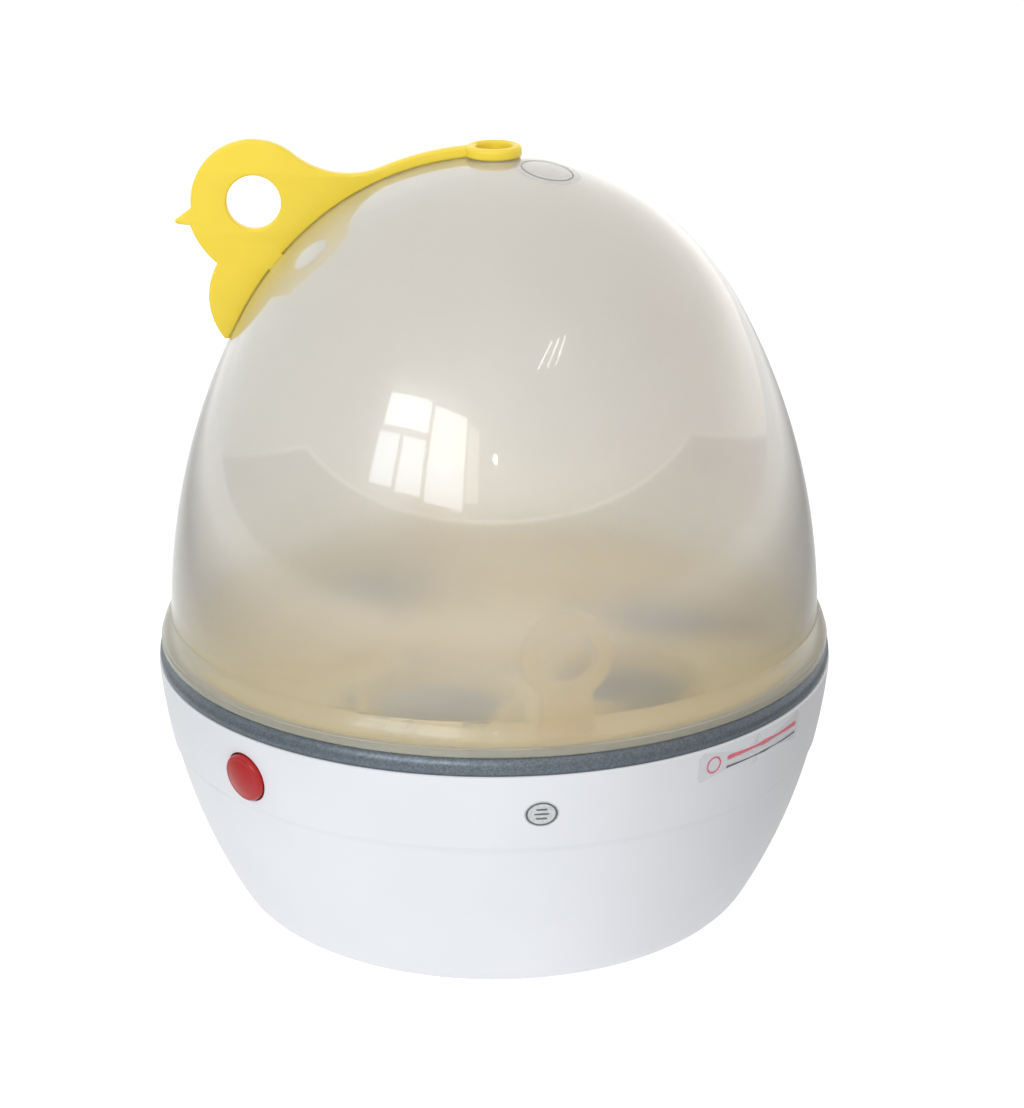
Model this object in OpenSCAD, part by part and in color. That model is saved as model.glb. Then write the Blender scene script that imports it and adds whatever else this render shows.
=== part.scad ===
// Egg cooker: a bowl-shaped electric base, a lift-out egg tray and a frosted dome lid
// with a chick-shaped handle. The origin is on the vertical axis, at the level that
// the feet stand on. +Z is up and -Y is the front.

/* [Base] */
// Height of the rim plane, where the lid stands on the trim ring
rim_z = 68.5; // [68:0.1:69]
// Wall thickness of the plastic bowl
wall = 2.4; // [2:0.1:2.6]
// Height of the bowl's flat underside above the floor
body_floor_z = 2; // [1.8:0.1:2.2]
// Radius of the flat underside, where the lower corner starts
body_flat_r = 54.3; // [53.5:0.1:55]
// Radius of the rounded lower corner
corner_r = 11.5; // [11:0.1:12]
// Radius of the long arc up the side
side_r = 136.2; // [135:0.1:137]
// Angle where the corner turns into the side arc, below the horizontal
side_start = 29.4; // [29:0.1:30]
// Height of the faint step round the bowl
step_z = 45.5; // [44:0.5:47]
// How far the band above the step stands proud
step_d = 0.4; // [0.2:0.1:0.6]

/* [Lid] */
// Largest radius of the dome
dome_r = 78.6; // [78.4:0.1:78.8]
// Height of the dome's largest radius above the rim plane
dome_rise = 4.6; // [4:0.1:5]
// Radius of the arc up the dome's side
dome_side_r = 158.8; // [157:0.1:160]
// Radius of the arc round the dome's shoulder
dome_mid_r = 75.9; // [75:0.1:77]
// Angle where the side arc meets the shoulder arc
dome_join_1 = 28.7; // [28:0.1:29.5]
// Angle where the shoulder arc meets the crown arc
dome_join_2 = 50; // [49:0.5:51]
// Wall thickness of the dome
dome_wall = 1.8; // [1.5:0.1:2]
// Outer radius of the lip at the foot of the lid
lip_r = 81.1; // [80.9:0.1:81.3]
// Height of the lip band
lip_h = 2.2; // [1.8:0.1:2.6]
// Radius of the steam vent at the top of the dome
vent_r = 3.5; // [3.2:0.1:3.8]

/* [Chick handle] */
// Thickness of the flat plate
plate_t = 3; // [2.6:0.1:3.4]
// Radius of the chick's head
head_r = 14.7; // [14.2:0.1:15]
// Distance of the head's centre from the axis
head_x = 56; // [55.5:0.1:56.5]
// Height of the head's centre above the rim plane
head_rise = 106.8; // [106.3:0.1:107.3]
// Radius of the finger hole through the head
finger_r = 6.4; // [6:0.1:6.8]
// Radius of the hollow between the head and the strip along the dome
nape_r = 20; // [19:0.5:21]
// Thickness of the strip that runs along the dome to the vent ring
strip_t = 2.7; // [2.4:0.1:3]
// Outer radius of the ring round the steam vent
vent_ring_r = 6.6; // [6.3:0.1:7]

/* [Egg tray] */
// Number of seats round the central one
ring_seats = 6; // [5:1:6]
// Radius of an egg seat's opening
seat_r = 17; // [16:0.5:17.5]
// Distance of the outer seats from the axis
seat_ring_r = 45; // [44.5:0.5:45.5]
// Turn of the tray about the axis, measured at the front lug
tray_turn = 13.3; // [10:0.1:16]
// Outer radius of a lifting lug's ring
lug_r = 10.5; // [10:0.1:11]
// Radius of the hole in a lifting lug
lug_hole_r = 6.5; // [6:0.1:7]
// Height of a lifting lug's centre above the rim plane
lug_rise = 19.3; // [18.5:0.1:20]

/* [Push button] */
// Radius of the red cap
button_r = 5.75; // [5.5:0.05:6]
// Height of the button's centre
button_z = 54; // [53.5:0.1:54.5]
// Turn of the button about the axis, from the front
button_turn = -45; // [-50:1:-40]
// How far the cap stands out of the bowl
button_proud = 1.9; // [1.7:0.1:2.1]

/* [Cord inlet] */
// Height of the cord inlet at the back
inlet_z = 16; // [15.5:0.1:17]
// Radius of the passage for the cord through the gland
inlet_r = 3.25; // [3:0.05:3.5]

/* [Hidden] */
$fn = 96;
tiny_fn = 24;
over = 1;                                   // how far a cut runs past a face
through_r = 1.7;                            // hole that a screw passes through
tap_r = 1.05;                               // hole that a small screw bites into
cross_w = 0.7;                              // slots of a cross-head screw
pillar_r = 3.4;                             // plastic pillar round a small screw

// Bowl: the corner arc and the side arc share a tangent at side_start.
corner_c = [body_flat_r, body_floor_z + corner_r];
side_c = corner_c + (side_r - corner_r) * [-cos(side_start), sin(side_start)];
body_top_z = rim_z - 4;
opening_r = 46;                             // opening in the underside
recess_r = 50;                              // recess that takes the cover
seat_ring_t = 2.2;
ledge_z = 60;
ledge_t = 2;
ledge_r = 71.5;

// Sheet metal pan, hung by its flange from the ledge.
seal_t = 1.3;
seal_w = 4.8;
pan_t = 0.8;
flange_z = ledge_z + ledge_t + seal_t;
flange_r = 77;
pan_floor_z = 44.2;                         // underside of the pan's floor
pan_inside = [
    [flange_r, flange_z + pan_t], [72.5, flange_z + pan_t], [60, 62.4], [57.4, 60.6],
    [54, 48], [51, pan_floor_z + pan_t], [0, pan_floor_z + pan_t]
];

// Trim ring and the parts that sit on it.
web_z = flange_z + pan_t;
tray_z = rim_z - 1.7;
trim_inner_r = 72.2;
trim_plug_r = 78.6;
bead_r = [77, 78.3];
bead_h = 1.3;
crown_r = 3.3;                              // roundness of the visible band
crown_c = [78.3, rim_z - 2.4];
trim_screw_r = 75;
screw_turns = [0, 120, 240];

// Dome: three arcs with shared tangents, the last one centred on the axis.
dome_c1 = [dome_r - dome_side_r, rim_z + dome_rise];
dome_c2 = dome_c1 + (dome_side_r - dome_mid_r) * [cos(dome_join_1), sin(dome_join_1)];
dome_top_r = dome_mid_r + dome_c2[0] / cos(dome_join_2);
dome_c3 = [0, dome_c2[1] + (dome_mid_r - dome_top_r) * sin(dome_join_2)];
dome_top_z = dome_c3[1] + dome_top_r;
flare_r = 15.9;                             // arc from the lip up to the dome
flare_angles = [12, 34];
flare_c = [lip_r - 0.15, rim_z + lip_h] - flare_r * [cos(flare_angles[0]), sin(flare_angles[0])];
flare_top_z = flare_c[1] + flare_r * sin(flare_angles[1]);
lip_inner_r = 79;

// Chick handle, drawn in the plane of the axis with x away from it.
head_c = [head_x, rim_z + head_rise];
cheek_c = [head_x - 4, rim_z + 107.4];
cheek_r = 19.9;
breast_c = [50.9, rim_z + 84];
breast_r = 16.2;
strip_r = dome_top_r + strip_t;
nape_gap = norm(head_c - dome_c3);
// Angle at the crown's centre between the head and the hollow's centre, by the cosine rule
nape_swing = acos((pow(strip_r + nape_r, 2) + pow(nape_gap, 2) - pow(head_r + nape_r, 2))
    / (2 * (strip_r + nape_r) * nape_gap));
nape_turn = atan2(head_c[1] - dome_c3[1], head_c[0]) + nape_swing;
nape_c = dome_c3 + (strip_r + nape_r) * [cos(nape_turn), sin(nape_turn)];
nape_to_head = atan2(head_c[1] - nape_c[1], head_c[0] - nape_c[0]);
handle_gap = 0.05;                          // between the plate and the dome's surface
tongue_turn = 39.5;                         // place of the snap tongue on the shoulder arc
tongue_w = 4.8;
tongue_gap = 0.2;
vent_ring_z = [rim_z + 117.6, rim_z + 120.2];

// Egg tray.
tray_t = 2.2;
tray_r = 76.4;
tray_rim_t = 1.8;
seat_drop = 3;                              // collar below each seat
collar_t = 1.7;
lug_t = 3;
lug_ring_r = 69;
stem_w = 11.7;
steam_hole_r = 3.5;
steam_ring_r = 26;

// Button: its own frame has +Z out along the bowl's surface normal.
button_tilt = asin((side_c[1] - button_z) / (side_r + step_d));
button_surface_r = side_c[0] + (side_r + step_d) * cos(button_tilt);
button_gap = 0.35;
button_skirt = 5;
button_sphere_r = 17;
stem_r = 2;
stem_end = -12;
guide_t = 1;
guide_l = 5.5;
skirt_run = button_skirt + 2;                // how deep the cap's skirt reaches when it is pressed
switch_front = -9;
switch_l = 9;
switch_w = [16, 8];
switch_screw_l = 8;
ear_x = 10.5;                               // screws through the switch's ears
ear_r = 2.6;
ear_t = 2;
switch_bore_gap = 0.1;
pocket_d = 2.4;
spring_coil_r = 3.1;
spring_wire_r = 0.35;
spring_turns = 4;
spring_steps = 12;
wire_sides = 8;
wire_ref = [0.2, 0.3, 0.9];                 // a direction that no wire follows

// Heating parts under the pan.
spreader_r = 46;
spreader_t = 1.2;
spreader_z = pan_floor_z - spreader_t;
element_ring_r = 36;
element_tube_r = 3.2;
element_z = spreader_z - element_tube_r - 0.05;
element_gap = 30;                           // degrees left open at the back
pin_l = 10;
clip_size = [7, 12];
thermostat_r = 8;
thermostat_h = [4, 8, 8];                   // cap, body and tabs
tab_size = [0.8, 6.3];                      // flat tab that a wire's end pushes on
tab_x = 4;
bracket_x = 20;                             // the bracket's screws
bracket_leg_x = 15;                         // inner face of the bracket's legs
bracket_w = 10;
bracket_foot_l = 9;
bracket_t = 1;
tab_end_z = spreader_z - thermostat_h[0] - thermostat_h[1] - thermostat_h[2];
fuse_y = -22;
fuse_z = spreader_z - 2.9;
fuse_l = 12;

// Bottom cover and what is fixed to it.
cover_r = 49.6;
cover_t = wall;
cover_top = body_floor_z + cover_t;
cover_screw_r = 44.3;
cover_sink = 1.6;                           // depth of the recess round a screw's head
slot_size = [2.4, 16];                      // vents through the cover
slot_pitch = 5;
slot_y = -20;
boss_r = 3.6;
boss_h = 13;
feet_r = 6;
feet_sink = 1;                              // how far a foot is let into the cover
feet_ring_r = 37;
clamp_x = 10;
clamp_y = 38;
clamp_pillar_h = 6.6;
block_size = [28, 12, 11];
block_y = 12;
block_ways = [-9, 0, 9];
block_screw_y = [3, 9];
way_z = 5;                                  // height of the block's ways above the cover
gland_y = [60.5, 73.5];
gland_r = 6;
gland_lip = 2;                              // how far the gland's flanges stand out
gland_face = 3;                             // depth of the flat the outer flange sits on

// Points along an arc, from one angle to the other.
function arc(c, r, a0, a1, n) =
    [for (i = [0 : n]) let (a = a0 + (a1 - a0) * i / n) c + r * [cos(a), sin(a)]];

// The same arc without its first point, to follow another one.
function arc_on(c, r, a0, a1, n) =
    [for (i = [1 : n]) let (a = a0 + (a1 - a0) * i / n) c + r * [cos(a), sin(a)]];

// Dome's outline, grown by d, from the height z up to the axis.
function dome_outline(d, z) = concat(
    arc(dome_c1, dome_side_r + d, asin((z - dome_c1[1]) / (dome_side_r + d)), dome_join_1, 8),
    arc_on(dome_c2, dome_mid_r + d, dome_join_1, dome_join_2, 5),
    arc_on(dome_c3, dome_top_r + d, dome_join_2, 90, 9)
);

// Bowl's outline, shrunk by d, from the flat underside up to its top edge.
function bowl_outline(d, band) = let (
    r = side_r - d,
    step_a = asin((side_c[1] - step_z) / r),
    top_a = asin((side_c[1] - body_top_z) / (r + band))
) concat(
    arc(corner_c, corner_r - d, -90, -side_start, 6),
    arc_on(side_c, r, -side_start, -step_a, 5),
    arc(side_c, r + band, -asin((side_c[1] - step_z - band / 2) / (r + band)), -top_a, 5)
);

// Unit normal on the left of the segment from a to b.
function left_normal(a, b) = let (u = (b - a) / norm(b - a)) [-u[1], u[0]];

// A path moved sideways by t at every point, with mitred corners.
function offset_path(p, t) = let (n = len(p) - 1) [
    for (i = [0 : n]) let (
        before = left_normal(p[max(i - 1, 0)], p[max(i, 1)]),
        after = left_normal(p[min(i, n - 1)], p[min(i + 1, n)])
    ) p[i] + t * (before + after) / (1 + before * after)
];

function reversed(p) = [for (i = [len(p) - 1 : -1 : 0]) p[i]];

module at_turn(turn, r, z = 0) {
    rotate([0, 0, turn]) translate([0, -r, z]) children();
}

module at_button() {
    at_turn(button_turn, button_surface_r, button_z) rotate([90 + button_tilt, 0, 0]) children();
}

// Pan-head screw whose head's underside is at the origin, with its shank along +Z.
module screw(cap_r, cap_h, shank_r, length) {
    slot_l = 1.4 * cap_r;
    difference() {
        translate([0, 0, -cap_h]) cylinder(r = cap_r, h = cap_h, $fn = tiny_fn);
        translate([-slot_l / 2, -cross_w / 2, -cap_h - over]) cube([slot_l, cross_w, over + cap_h / 2]);
        translate([-cross_w / 2, -slot_l / 2, -cap_h - over]) cube([cross_w, slot_l, over + cap_h / 2]);
    }
    cylinder(r = shank_r, h = length, $fn = tiny_fn);
}

// Ring of points round c, square to the direction d.
function ring_at(c, d, r, n) = let (
    u = cross(d, wire_ref) / norm(cross(d, wire_ref)),
    v = cross(u, d) / norm(d)
) [for (j = [0 : n - 1]) c + r * (cos(360 * j / n) * u + sin(360 * j / n) * v)];

// Round wire along a list of points.
module wire(points, r) {
    n = wire_sides;
    last = len(points) - 1;
    rings = [for (i = [0 : last])
        for (p = ring_at(points[i], points[min(i + 1, last)] - points[max(i - 1, 0)], r, n)) p];
    sides = [for (i = [0 : last - 1]) for (j = [0 : n - 1]) let (a = i * n, b = a + n, k = (j + 1) % n)
        each [[a + j, a + k, b + k], [a + j, b + k, b + j]]];
    ends = [[for (j = [n - 1 : -1 : 0]) j], [for (j = [0 : n - 1]) last * n + j]];
    polyhedron(points = rings, faces = concat(sides, ends));
}

module outer_body() {
    color("white") difference() {
        union() {
            difference() {
                rotate_extrude() polygon(concat(
                    [[0, body_floor_z]], bowl_outline(0, step_d), [[0, body_top_z]]));
                rotate_extrude() polygon(concat(
                    [[0, body_floor_z + wall]], bowl_outline(wall, step_d),
                    [[trim_plug_r + 0.3, body_top_z + over], [0, body_top_z + over]]));
            }
            translate([0, 0, body_floor_z + wall]) cylinder(r = recess_r + 2, h = seat_ring_t);
            translate([0, 0, ledge_z]) cylinder(r = trim_plug_r + 1, h = ledge_t);
            for (turn = screw_turns) at_turn(turn, trim_screw_r, ledge_z - ledge_t)
                cylinder(r = pillar_r, h = ledge_t + over, $fn = 48);
            at_button() translate([0, 0, -guide_l])
                cylinder(r = button_r + button_gap + guide_t, h = guide_l - wall / 2);
            at_button() for (side = [-1, 1]) translate([side * ear_x, 0, switch_front])
                cylinder(r = ear_r, h = -switch_front - wall / 2, $fn = 48);
            translate([0, gland_y[0], inlet_z]) rotate([-90, 0, 0])
                cylinder(r = gland_r + gland_lip, h = gland_y[1] - gland_y[0] - gland_face);
        }
        translate([0, 0, body_floor_z - over]) cylinder(r = recess_r, h = wall + over);
        cylinder(r = opening_r, h = cover_top + seat_ring_t + over);
        translate([0, 0, ledge_z - over]) cylinder(r = ledge_r, h = ledge_t + 2 * over);
        for (turn = screw_turns) at_turn(turn, trim_screw_r, ledge_z - ledge_t - over)
            cylinder(r = through_r, h = 2 * (ledge_t + over), $fn = tiny_fn);
        at_button() translate([0, 0, -skirt_run]) cylinder(r = button_r + button_gap, h = skirt_run + 5);
        at_button() for (side = [-1, 1]) translate([side * ear_x, 0, switch_front - over])
            cylinder(r = tap_r, h = switch_screw_l - 1, $fn = tiny_fn);
        translate([0, gland_y[0] - over, inlet_z]) rotate([-90, 0, 0])
            cylinder(r = gland_r, h = gland_y[1] - gland_y[0] + 2 * over);
        translate([0, gland_y[1] - gland_face, inlet_z]) rotate([-90, 0, 0])
            cylinder(r = gland_r + gland_lip + 0.1, h = 2 * gland_face);
    }
    // Bosses for the cover's screws, joined to the seat ring round the opening.
    color("white") for (turn = screw_turns) at_turn(turn, cover_screw_r, cover_top) difference() {
        cylinder(r = boss_r, h = boss_h, $fn = 48);
        translate([0, 0, -over]) cylinder(r = tap_r + 0.2, h = boss_h, $fn = tiny_fn);
    }
}

module bottom_cover() {
    color("white") difference() {
        union() {
            translate([0, 0, body_floor_z]) cylinder(r = cover_r, h = cover_t);
            for (side = [-1, 1]) translate([side * clamp_x, clamp_y, cover_top])
                cylinder(r = pillar_r, h = clamp_pillar_h, $fn = 48);
        }
        for (turn = screw_turns) at_turn(turn, cover_screw_r) {
            translate([0, 0, body_floor_z - over]) cylinder(r = 3.2, h = cover_sink + over, $fn = 48);
            cylinder(r = through_r, h = cover_top + over, $fn = tiny_fn);
        }
        for (i = [0 : 3]) at_turn(45 + 90 * i, feet_ring_r, body_floor_z - over)
            cylinder(r = feet_r + 0.1, h = over + feet_sink);
        for (i = [-3 : 3]) translate([i * slot_pitch - slot_size[0] / 2, slot_y, body_floor_z - over])
            cube([slot_size[0], slot_size[1], cover_t + 2 * over]);
        for (side = [-1, 1]) translate([side * clamp_x, clamp_y, cover_top + 0.6])
            cylinder(r = tap_r, h = clamp_pillar_h + over, $fn = tiny_fn);
    }
}

module cover_screws() {
    color("silver") for (turn = screw_turns)
        at_turn(turn, cover_screw_r, body_floor_z + cover_sink) screw(2.8, 1.5, 1.2, 10);
}

module rubber_feet() {
    color("dimgray") for (i = [0 : 3]) at_turn(45 + 90 * i, feet_ring_r)
        rotate_extrude() polygon([[0, 0], [feet_r - 0.8, 0], [feet_r - 0.1, 0.8],
            [feet_r, body_floor_z + feet_sink], [0, body_floor_z + feet_sink]]);
}

module trim_ring() {
    start = -asin((crown_c[1] - body_top_z) / crown_r);
    end = asin((rim_z - crown_c[1]) / crown_r);
    color("slategray") difference() {
        rotate_extrude() polygon(concat(
            [[trim_inner_r, web_z], [trim_plug_r, web_z], [trim_plug_r, body_top_z]],
            arc(crown_c, crown_r, start, end, 8),
            [[bead_r[1], rim_z], [bead_r[1] - 0.3, rim_z + bead_h], [bead_r[0] + 0.3, rim_z + bead_h],
                [bead_r[0], tray_z], [trim_inner_r, tray_z]]));
        for (turn = screw_turns) at_turn(turn, trim_screw_r, web_z - over)
            cylinder(r = 1.1, h = over + 2.1, $fn = tiny_fn);
    }
}

module trim_screws() {
    color("silver") for (turn = screw_turns)
        at_turn(turn, trim_screw_r, ledge_z - ledge_t) screw(2.6, 1.5, 1.05, web_z + 2 - ledge_z + ledge_t);
}

module water_pan() {
    color("lightsteelblue") difference() {
        rotate_extrude() polygon(concat(pan_inside, reversed(offset_path(pan_inside, pan_t))));
        for (turn = screw_turns) at_turn(turn, trim_screw_r, flange_z - over)
            cylinder(r = through_r, h = pan_t + 2 * over, $fn = tiny_fn);
    }
}

module pan_seal() {
    color("darkred") difference() {
        translate([0, 0, ledge_z + ledge_t]) rotate_extrude()
            translate([ledge_r + 1.2, 0]) square([seal_w, seal_t]);
        for (turn = screw_turns) at_turn(turn, trim_screw_r, ledge_z)
            cylinder(r = through_r, h = ledge_t + seal_t + over, $fn = tiny_fn);
    }
}

module heat_spreader() {
    color("lightgray") translate([0, 0, spreader_z]) difference() {
        cylinder(r = spreader_r, h = spreader_t);
        for (side = [-1, 1]) translate([side * bracket_x, 0, -over])
            cylinder(r = 1.6, h = spreader_t + 2 * over, $fn = tiny_fn);
    }
}

module heating_element() {
    color("gray") translate([0, 0, element_z]) {
        rotate([0, 0, 90 + element_gap / 2]) rotate_extrude(angle = 360 - element_gap)
            translate([element_ring_r, 0]) circle(r = element_tube_r, $fn = tiny_fn);
        for (side = [-1, 1]) rotate([0, 0, 90 + side * element_gap / 2])
            translate([element_ring_r, 0, 0]) {
                sphere(r = element_tube_r, $fn = tiny_fn);
                translate([0, 0, -pin_l]) cylinder(r = 1.3, h = pin_l, $fn = tiny_fn);
            }
    }
}

module element_clips() {
    color("silver") for (turn = [0, 100, -100]) rotate([0, 0, turn]) difference() {
        translate([-clip_size[0] / 2, -element_ring_r - clip_size[1] / 2, element_z - element_tube_r - 1])
            cube([clip_size[0], clip_size[1], spreader_z - element_z + element_tube_r + 1]);
        rotate_extrude() translate([element_ring_r, element_z]) circle(r = element_tube_r + 0.05);
        rotate_extrude() translate([element_ring_r - element_tube_r - 0.05, element_z])
            square([2 * element_tube_r + 0.1, 6]);
    }
}

module thermostat() {
    color("ivory") {
        translate([0, 0, spreader_z - thermostat_h[0]])
            cylinder(r = thermostat_r, h = thermostat_h[0]);
        translate([0, 0, spreader_z - thermostat_h[0] - thermostat_h[1]])
            cylinder(r = thermostat_r - 1, h = thermostat_h[1]);
        for (side = [-1, 1]) translate([side * tab_x - tab_size[0] / 2, -tab_size[1] / 2, tab_end_z])
            cube([tab_size[0], tab_size[1], thermostat_h[2]]);
    }
}

module thermostat_bracket() {
    strap_z = spreader_z - thermostat_h[0] - bracket_t;
    strap_l = 2 * (bracket_leg_x + bracket_t);
    color("silver") difference() {
        union() {
            translate([-strap_l / 2, -bracket_w / 2, strap_z]) cube([strap_l, bracket_w, bracket_t]);
            translate([0, 0, strap_z]) cylinder(r = thermostat_r + 2, h = bracket_t);
            for (side = [0, 1]) mirror([side, 0, 0]) translate([bracket_leg_x, -bracket_w / 2, 0]) {
                translate([0, 0, strap_z]) cube([bracket_t, bracket_w, spreader_z - strap_z]);
                translate([0, 0, spreader_z - bracket_t]) cube([bracket_foot_l, bracket_w, bracket_t]);
            }
        }
        translate([0, 0, strap_z - over]) cylinder(r = thermostat_r - 0.9, h = bracket_t + 2 * over);
        for (side = [-1, 1]) translate([side * bracket_x, 0, spreader_z - bracket_t - over])
            cylinder(r = 1.6, h = bracket_t + 2 * over, $fn = tiny_fn);
    }
}

module bracket_screws() {
    color("silver") for (side = [-1, 1])
        translate([side * bracket_x, 0, spreader_z - bracket_t]) screw(2.5, 1.5, 1.4, 2.1);
}

module thermal_fuse() {
    color("tan") translate([0, fuse_y, fuse_z]) rotate([0, 90, 0]) {
        cylinder(r = 2, h = fuse_l, center = true, $fn = 48);
        cylinder(r = 0.5, h = fuse_l + 22, center = true, $fn = tiny_fn);
    }
}

module fuse_sleeve() {
    color("beige") translate([0, fuse_y, fuse_z]) rotate([0, 90, 0]) difference() {
        cylinder(r = 2.8, h = fuse_l + 4, center = true, $fn = 48);
        cylinder(r = 2.05, h = fuse_l + 4 + 2 * over, center = true, $fn = 48);
    }
}

// Red cap with a domed face, a hollow skirt and the stem that pushes the switch.
module power_button() {
    dome_a = asin((button_r - 0.4) / button_sphere_r);
    face = arc([0, button_proud - button_sphere_r], button_sphere_r, 90, 90 - dome_a, 4);
    shoulder_z = face[4][1];
    color("red") at_button() rotate_extrude() polygon(concat(
        face,
        [[button_r, shoulder_z - 0.4], [button_r, -button_skirt], [button_r - 1.3, -button_skirt],
            [button_r - 1.3, -1.5], [stem_r, -1.5], [stem_r, stem_end], [0, stem_end]]));
}

// Helix of round wire between the cap and the pocket in the switch.
module button_spring() {
    steps = spring_turns * spring_steps;
    top = -1.7 - spring_wire_r;
    bottom = switch_front - pocket_d + 1.7 + spring_wire_r;
    helix = [for (i = [0 : steps]) let (a = 360 * i / spring_steps)
        [spring_coil_r * cos(a), spring_coil_r * sin(a), bottom + (top - bottom) * i / steps]];
    color("silver") at_button() wire(helix, spring_wire_r);
}

module push_switch() {
    color("black") at_button() difference() {
        union() {
            translate([-switch_w[0] / 2, -switch_w[1] / 2, switch_front - switch_l])
                cube([switch_w[0], switch_w[1], switch_l]);
            translate([-ear_x - ear_r, -ear_r, switch_front - ear_t])
                cube([2 * (ear_x + ear_r), 2 * ear_r, ear_t]);
            for (side = [-1, 1]) translate([side * 4 - 0.4, -2.5, switch_front - switch_l - 5])
                cube([0.8, 5, 5]);
        }
        translate([0, 0, switch_front - pocket_d]) cylinder(r = spring_coil_r + 0.75, h = pocket_d + over);
        translate([0, 0, stem_end - 2.2]) cylinder(r = stem_r + switch_bore_gap, h = 6);
        for (side = [-1, 1]) translate([side * ear_x, 0, switch_front - ear_t - over])
            cylinder(r = 1.3, h = ear_t + 2 * over, $fn = tiny_fn);
    }
}

module switch_screws() {
    color("silver") at_button() for (side = [-1, 1])
        translate([side * ear_x, 0, switch_front - ear_t]) screw(2.2, 1.3, 1, switch_screw_l - 1);
}

module terminal_block() {
    color("ghostwhite") difference() {
        translate([-block_size[0] / 2, block_y, cover_top]) cube(block_size);
        for (x = block_ways) {
            translate([x, block_y - over, cover_top + way_z]) rotate([-90, 0, 0])
                cylinder(r = 2, h = block_size[1] + 2 * over, $fn = tiny_fn);
            for (y = block_screw_y) translate([x, block_y + y, cover_top + 7.5])
                cylinder(r = 1.8, h = 5, $fn = tiny_fn);
        }
    }
}

module terminal_screws() {
    color("goldenrod") for (x = block_ways) for (y = block_screw_y)
        translate([x, block_y + y, cover_top + 9.4]) rotate([180, 0, 0]) screw(1.7, 1.2, 1.2, 1.8);
}

// From the terminal block up to the switch and the heater's pin.
module supply_wires() {
    way = [block_ways[2], block_y - 2, cover_top + way_z];
    color("brown") wire([[-way[0], way[1], way[2]], [-12, 2, 12], [-30, -38, 30], [-39.3, -45, 52.2]], 1);
    color("royalblue") wire([way, [14, 3, 12], [20, 30, 20], [9.3, 34.8, 27]], 1);
}

// From the switch, through the fuse and the thermostat, to the heater's other pin.
module heater_wires() {
    tab = [tab_x, 0, tab_end_z - 1.2];
    color("ivory") {
        wire([[-45, -39.3, 52.2], [-38, -32, 33], [-22, fuse_y - 4, 33], [-18, fuse_y, fuse_z]], 1);
        wire([[18, fuse_y, fuse_z], [17, fuse_y + 6, 30], [8, -3, 20], tab], 1);
        wire([tab - [2 * tab_x, 0, 0], [-9, 8, 19], [-12, 26, 20], [-9.3, 34.8, 27]], 1);
    }
}

module cord_gland() {
    color("gainsboro") translate([0, 0, inlet_z]) rotate([-90, 0, 0]) difference() {
        union() {
            translate([0, 0, gland_y[0] - 2]) cylinder(r = gland_r - 0.05, h = gland_y[1] - gland_y[0] + 2);
            translate([0, 0, gland_y[1] - gland_face]) cylinder(r = gland_r + gland_lip, h = 2.4);
            translate([0, 0, gland_y[0] - 2]) cylinder(r = gland_r + gland_lip - 0.5, h = 2);
        }
        translate([0, 0, gland_y[0] - 2 - over])
            cylinder(r = inlet_r, h = gland_y[1] - gland_y[0] + 2 + 2 * over);
    }
}

module cord_clamp() {
    color("ivory") translate([0, clamp_y, cover_top + clamp_pillar_h]) difference() {
        translate([-clamp_x - 4, -4, 0]) cube([2 * clamp_x + 8, 8, 2.5]);
        for (side = [-1, 1]) translate([side * clamp_x, 0, -over])
            cylinder(r = 1.4, h = 2.5 + 2 * over, $fn = tiny_fn);
    }
}

module clamp_screws() {
    color("silver") for (side = [-1, 1])
        translate([side * clamp_x, clamp_y, cover_top + clamp_pillar_h + 2.5])
            rotate([180, 0, 0]) screw(2.4, 1.5, 1, 7);
}

module at_seats() {
    children();
    for (i = [0 : ring_seats - 1])
        rotate([0, 0, tray_turn + (i + 0.5) * 360 / ring_seats]) translate([0, -seat_ring_r, 0]) children();
}

module egg_tray() {
    color("gold") difference() {
        union() {
            translate([0, 0, tray_z]) cylinder(r = tray_r, h = tray_t);
            translate([0, 0, tray_z]) difference() {
                cylinder(r = tray_r, h = tray_t + 1.2);
                translate([0, 0, tray_t]) cylinder(r = tray_r - tray_rim_t, h = 2);
            }
            at_seats() translate([0, 0, tray_z - seat_drop])
                cylinder(r1 = seat_r - 1 + collar_t, r2 = seat_r + collar_t, h = seat_drop + over);
            for (turn = [0, 180]) at_turn(tray_turn + turn, lug_ring_r - lug_t / 2)
                rotate([90, 0, 0]) {
                    translate([0, rim_z + lug_rise, 0]) cylinder(r = lug_r, h = lug_t);
                    translate([-stem_w / 2, tray_z + over, 0])
                        cube([stem_w, rim_z + lug_rise - tray_z - over, lug_t]);
                }
        }
        at_seats() translate([0, 0, tray_z - seat_drop - over])
            cylinder(r1 = seat_r - 1 - over / 4, r2 = seat_r + over / 4, h = tray_t + seat_drop + 2 * over);
        for (turn = [0, 180]) at_turn(tray_turn + turn, lug_ring_r - lug_t / 2 - over)
            rotate([90, 0, 0]) translate([0, rim_z + lug_rise, 0])
                cylinder(r = lug_hole_r, h = lug_t + 2 * over);
        for (i = [0 : ring_seats - 1]) rotate([0, 0, tray_turn + i * 360 / ring_seats])
            translate([0, -steam_ring_r, tray_z - over])
                cylinder(r = steam_hole_r, h = tray_t + 2 * over, $fn = 48);
    }
}

module tongue_slot(extra) {
    translate([-dome_c2[0], 0, dome_c2[1]]) rotate([0, tongue_turn, 0])
        translate([-dome_mid_r, 0, 0])
            cube([9, plate_t + 2 * extra, tongue_w + 2 * extra], center = true);
}

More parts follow.
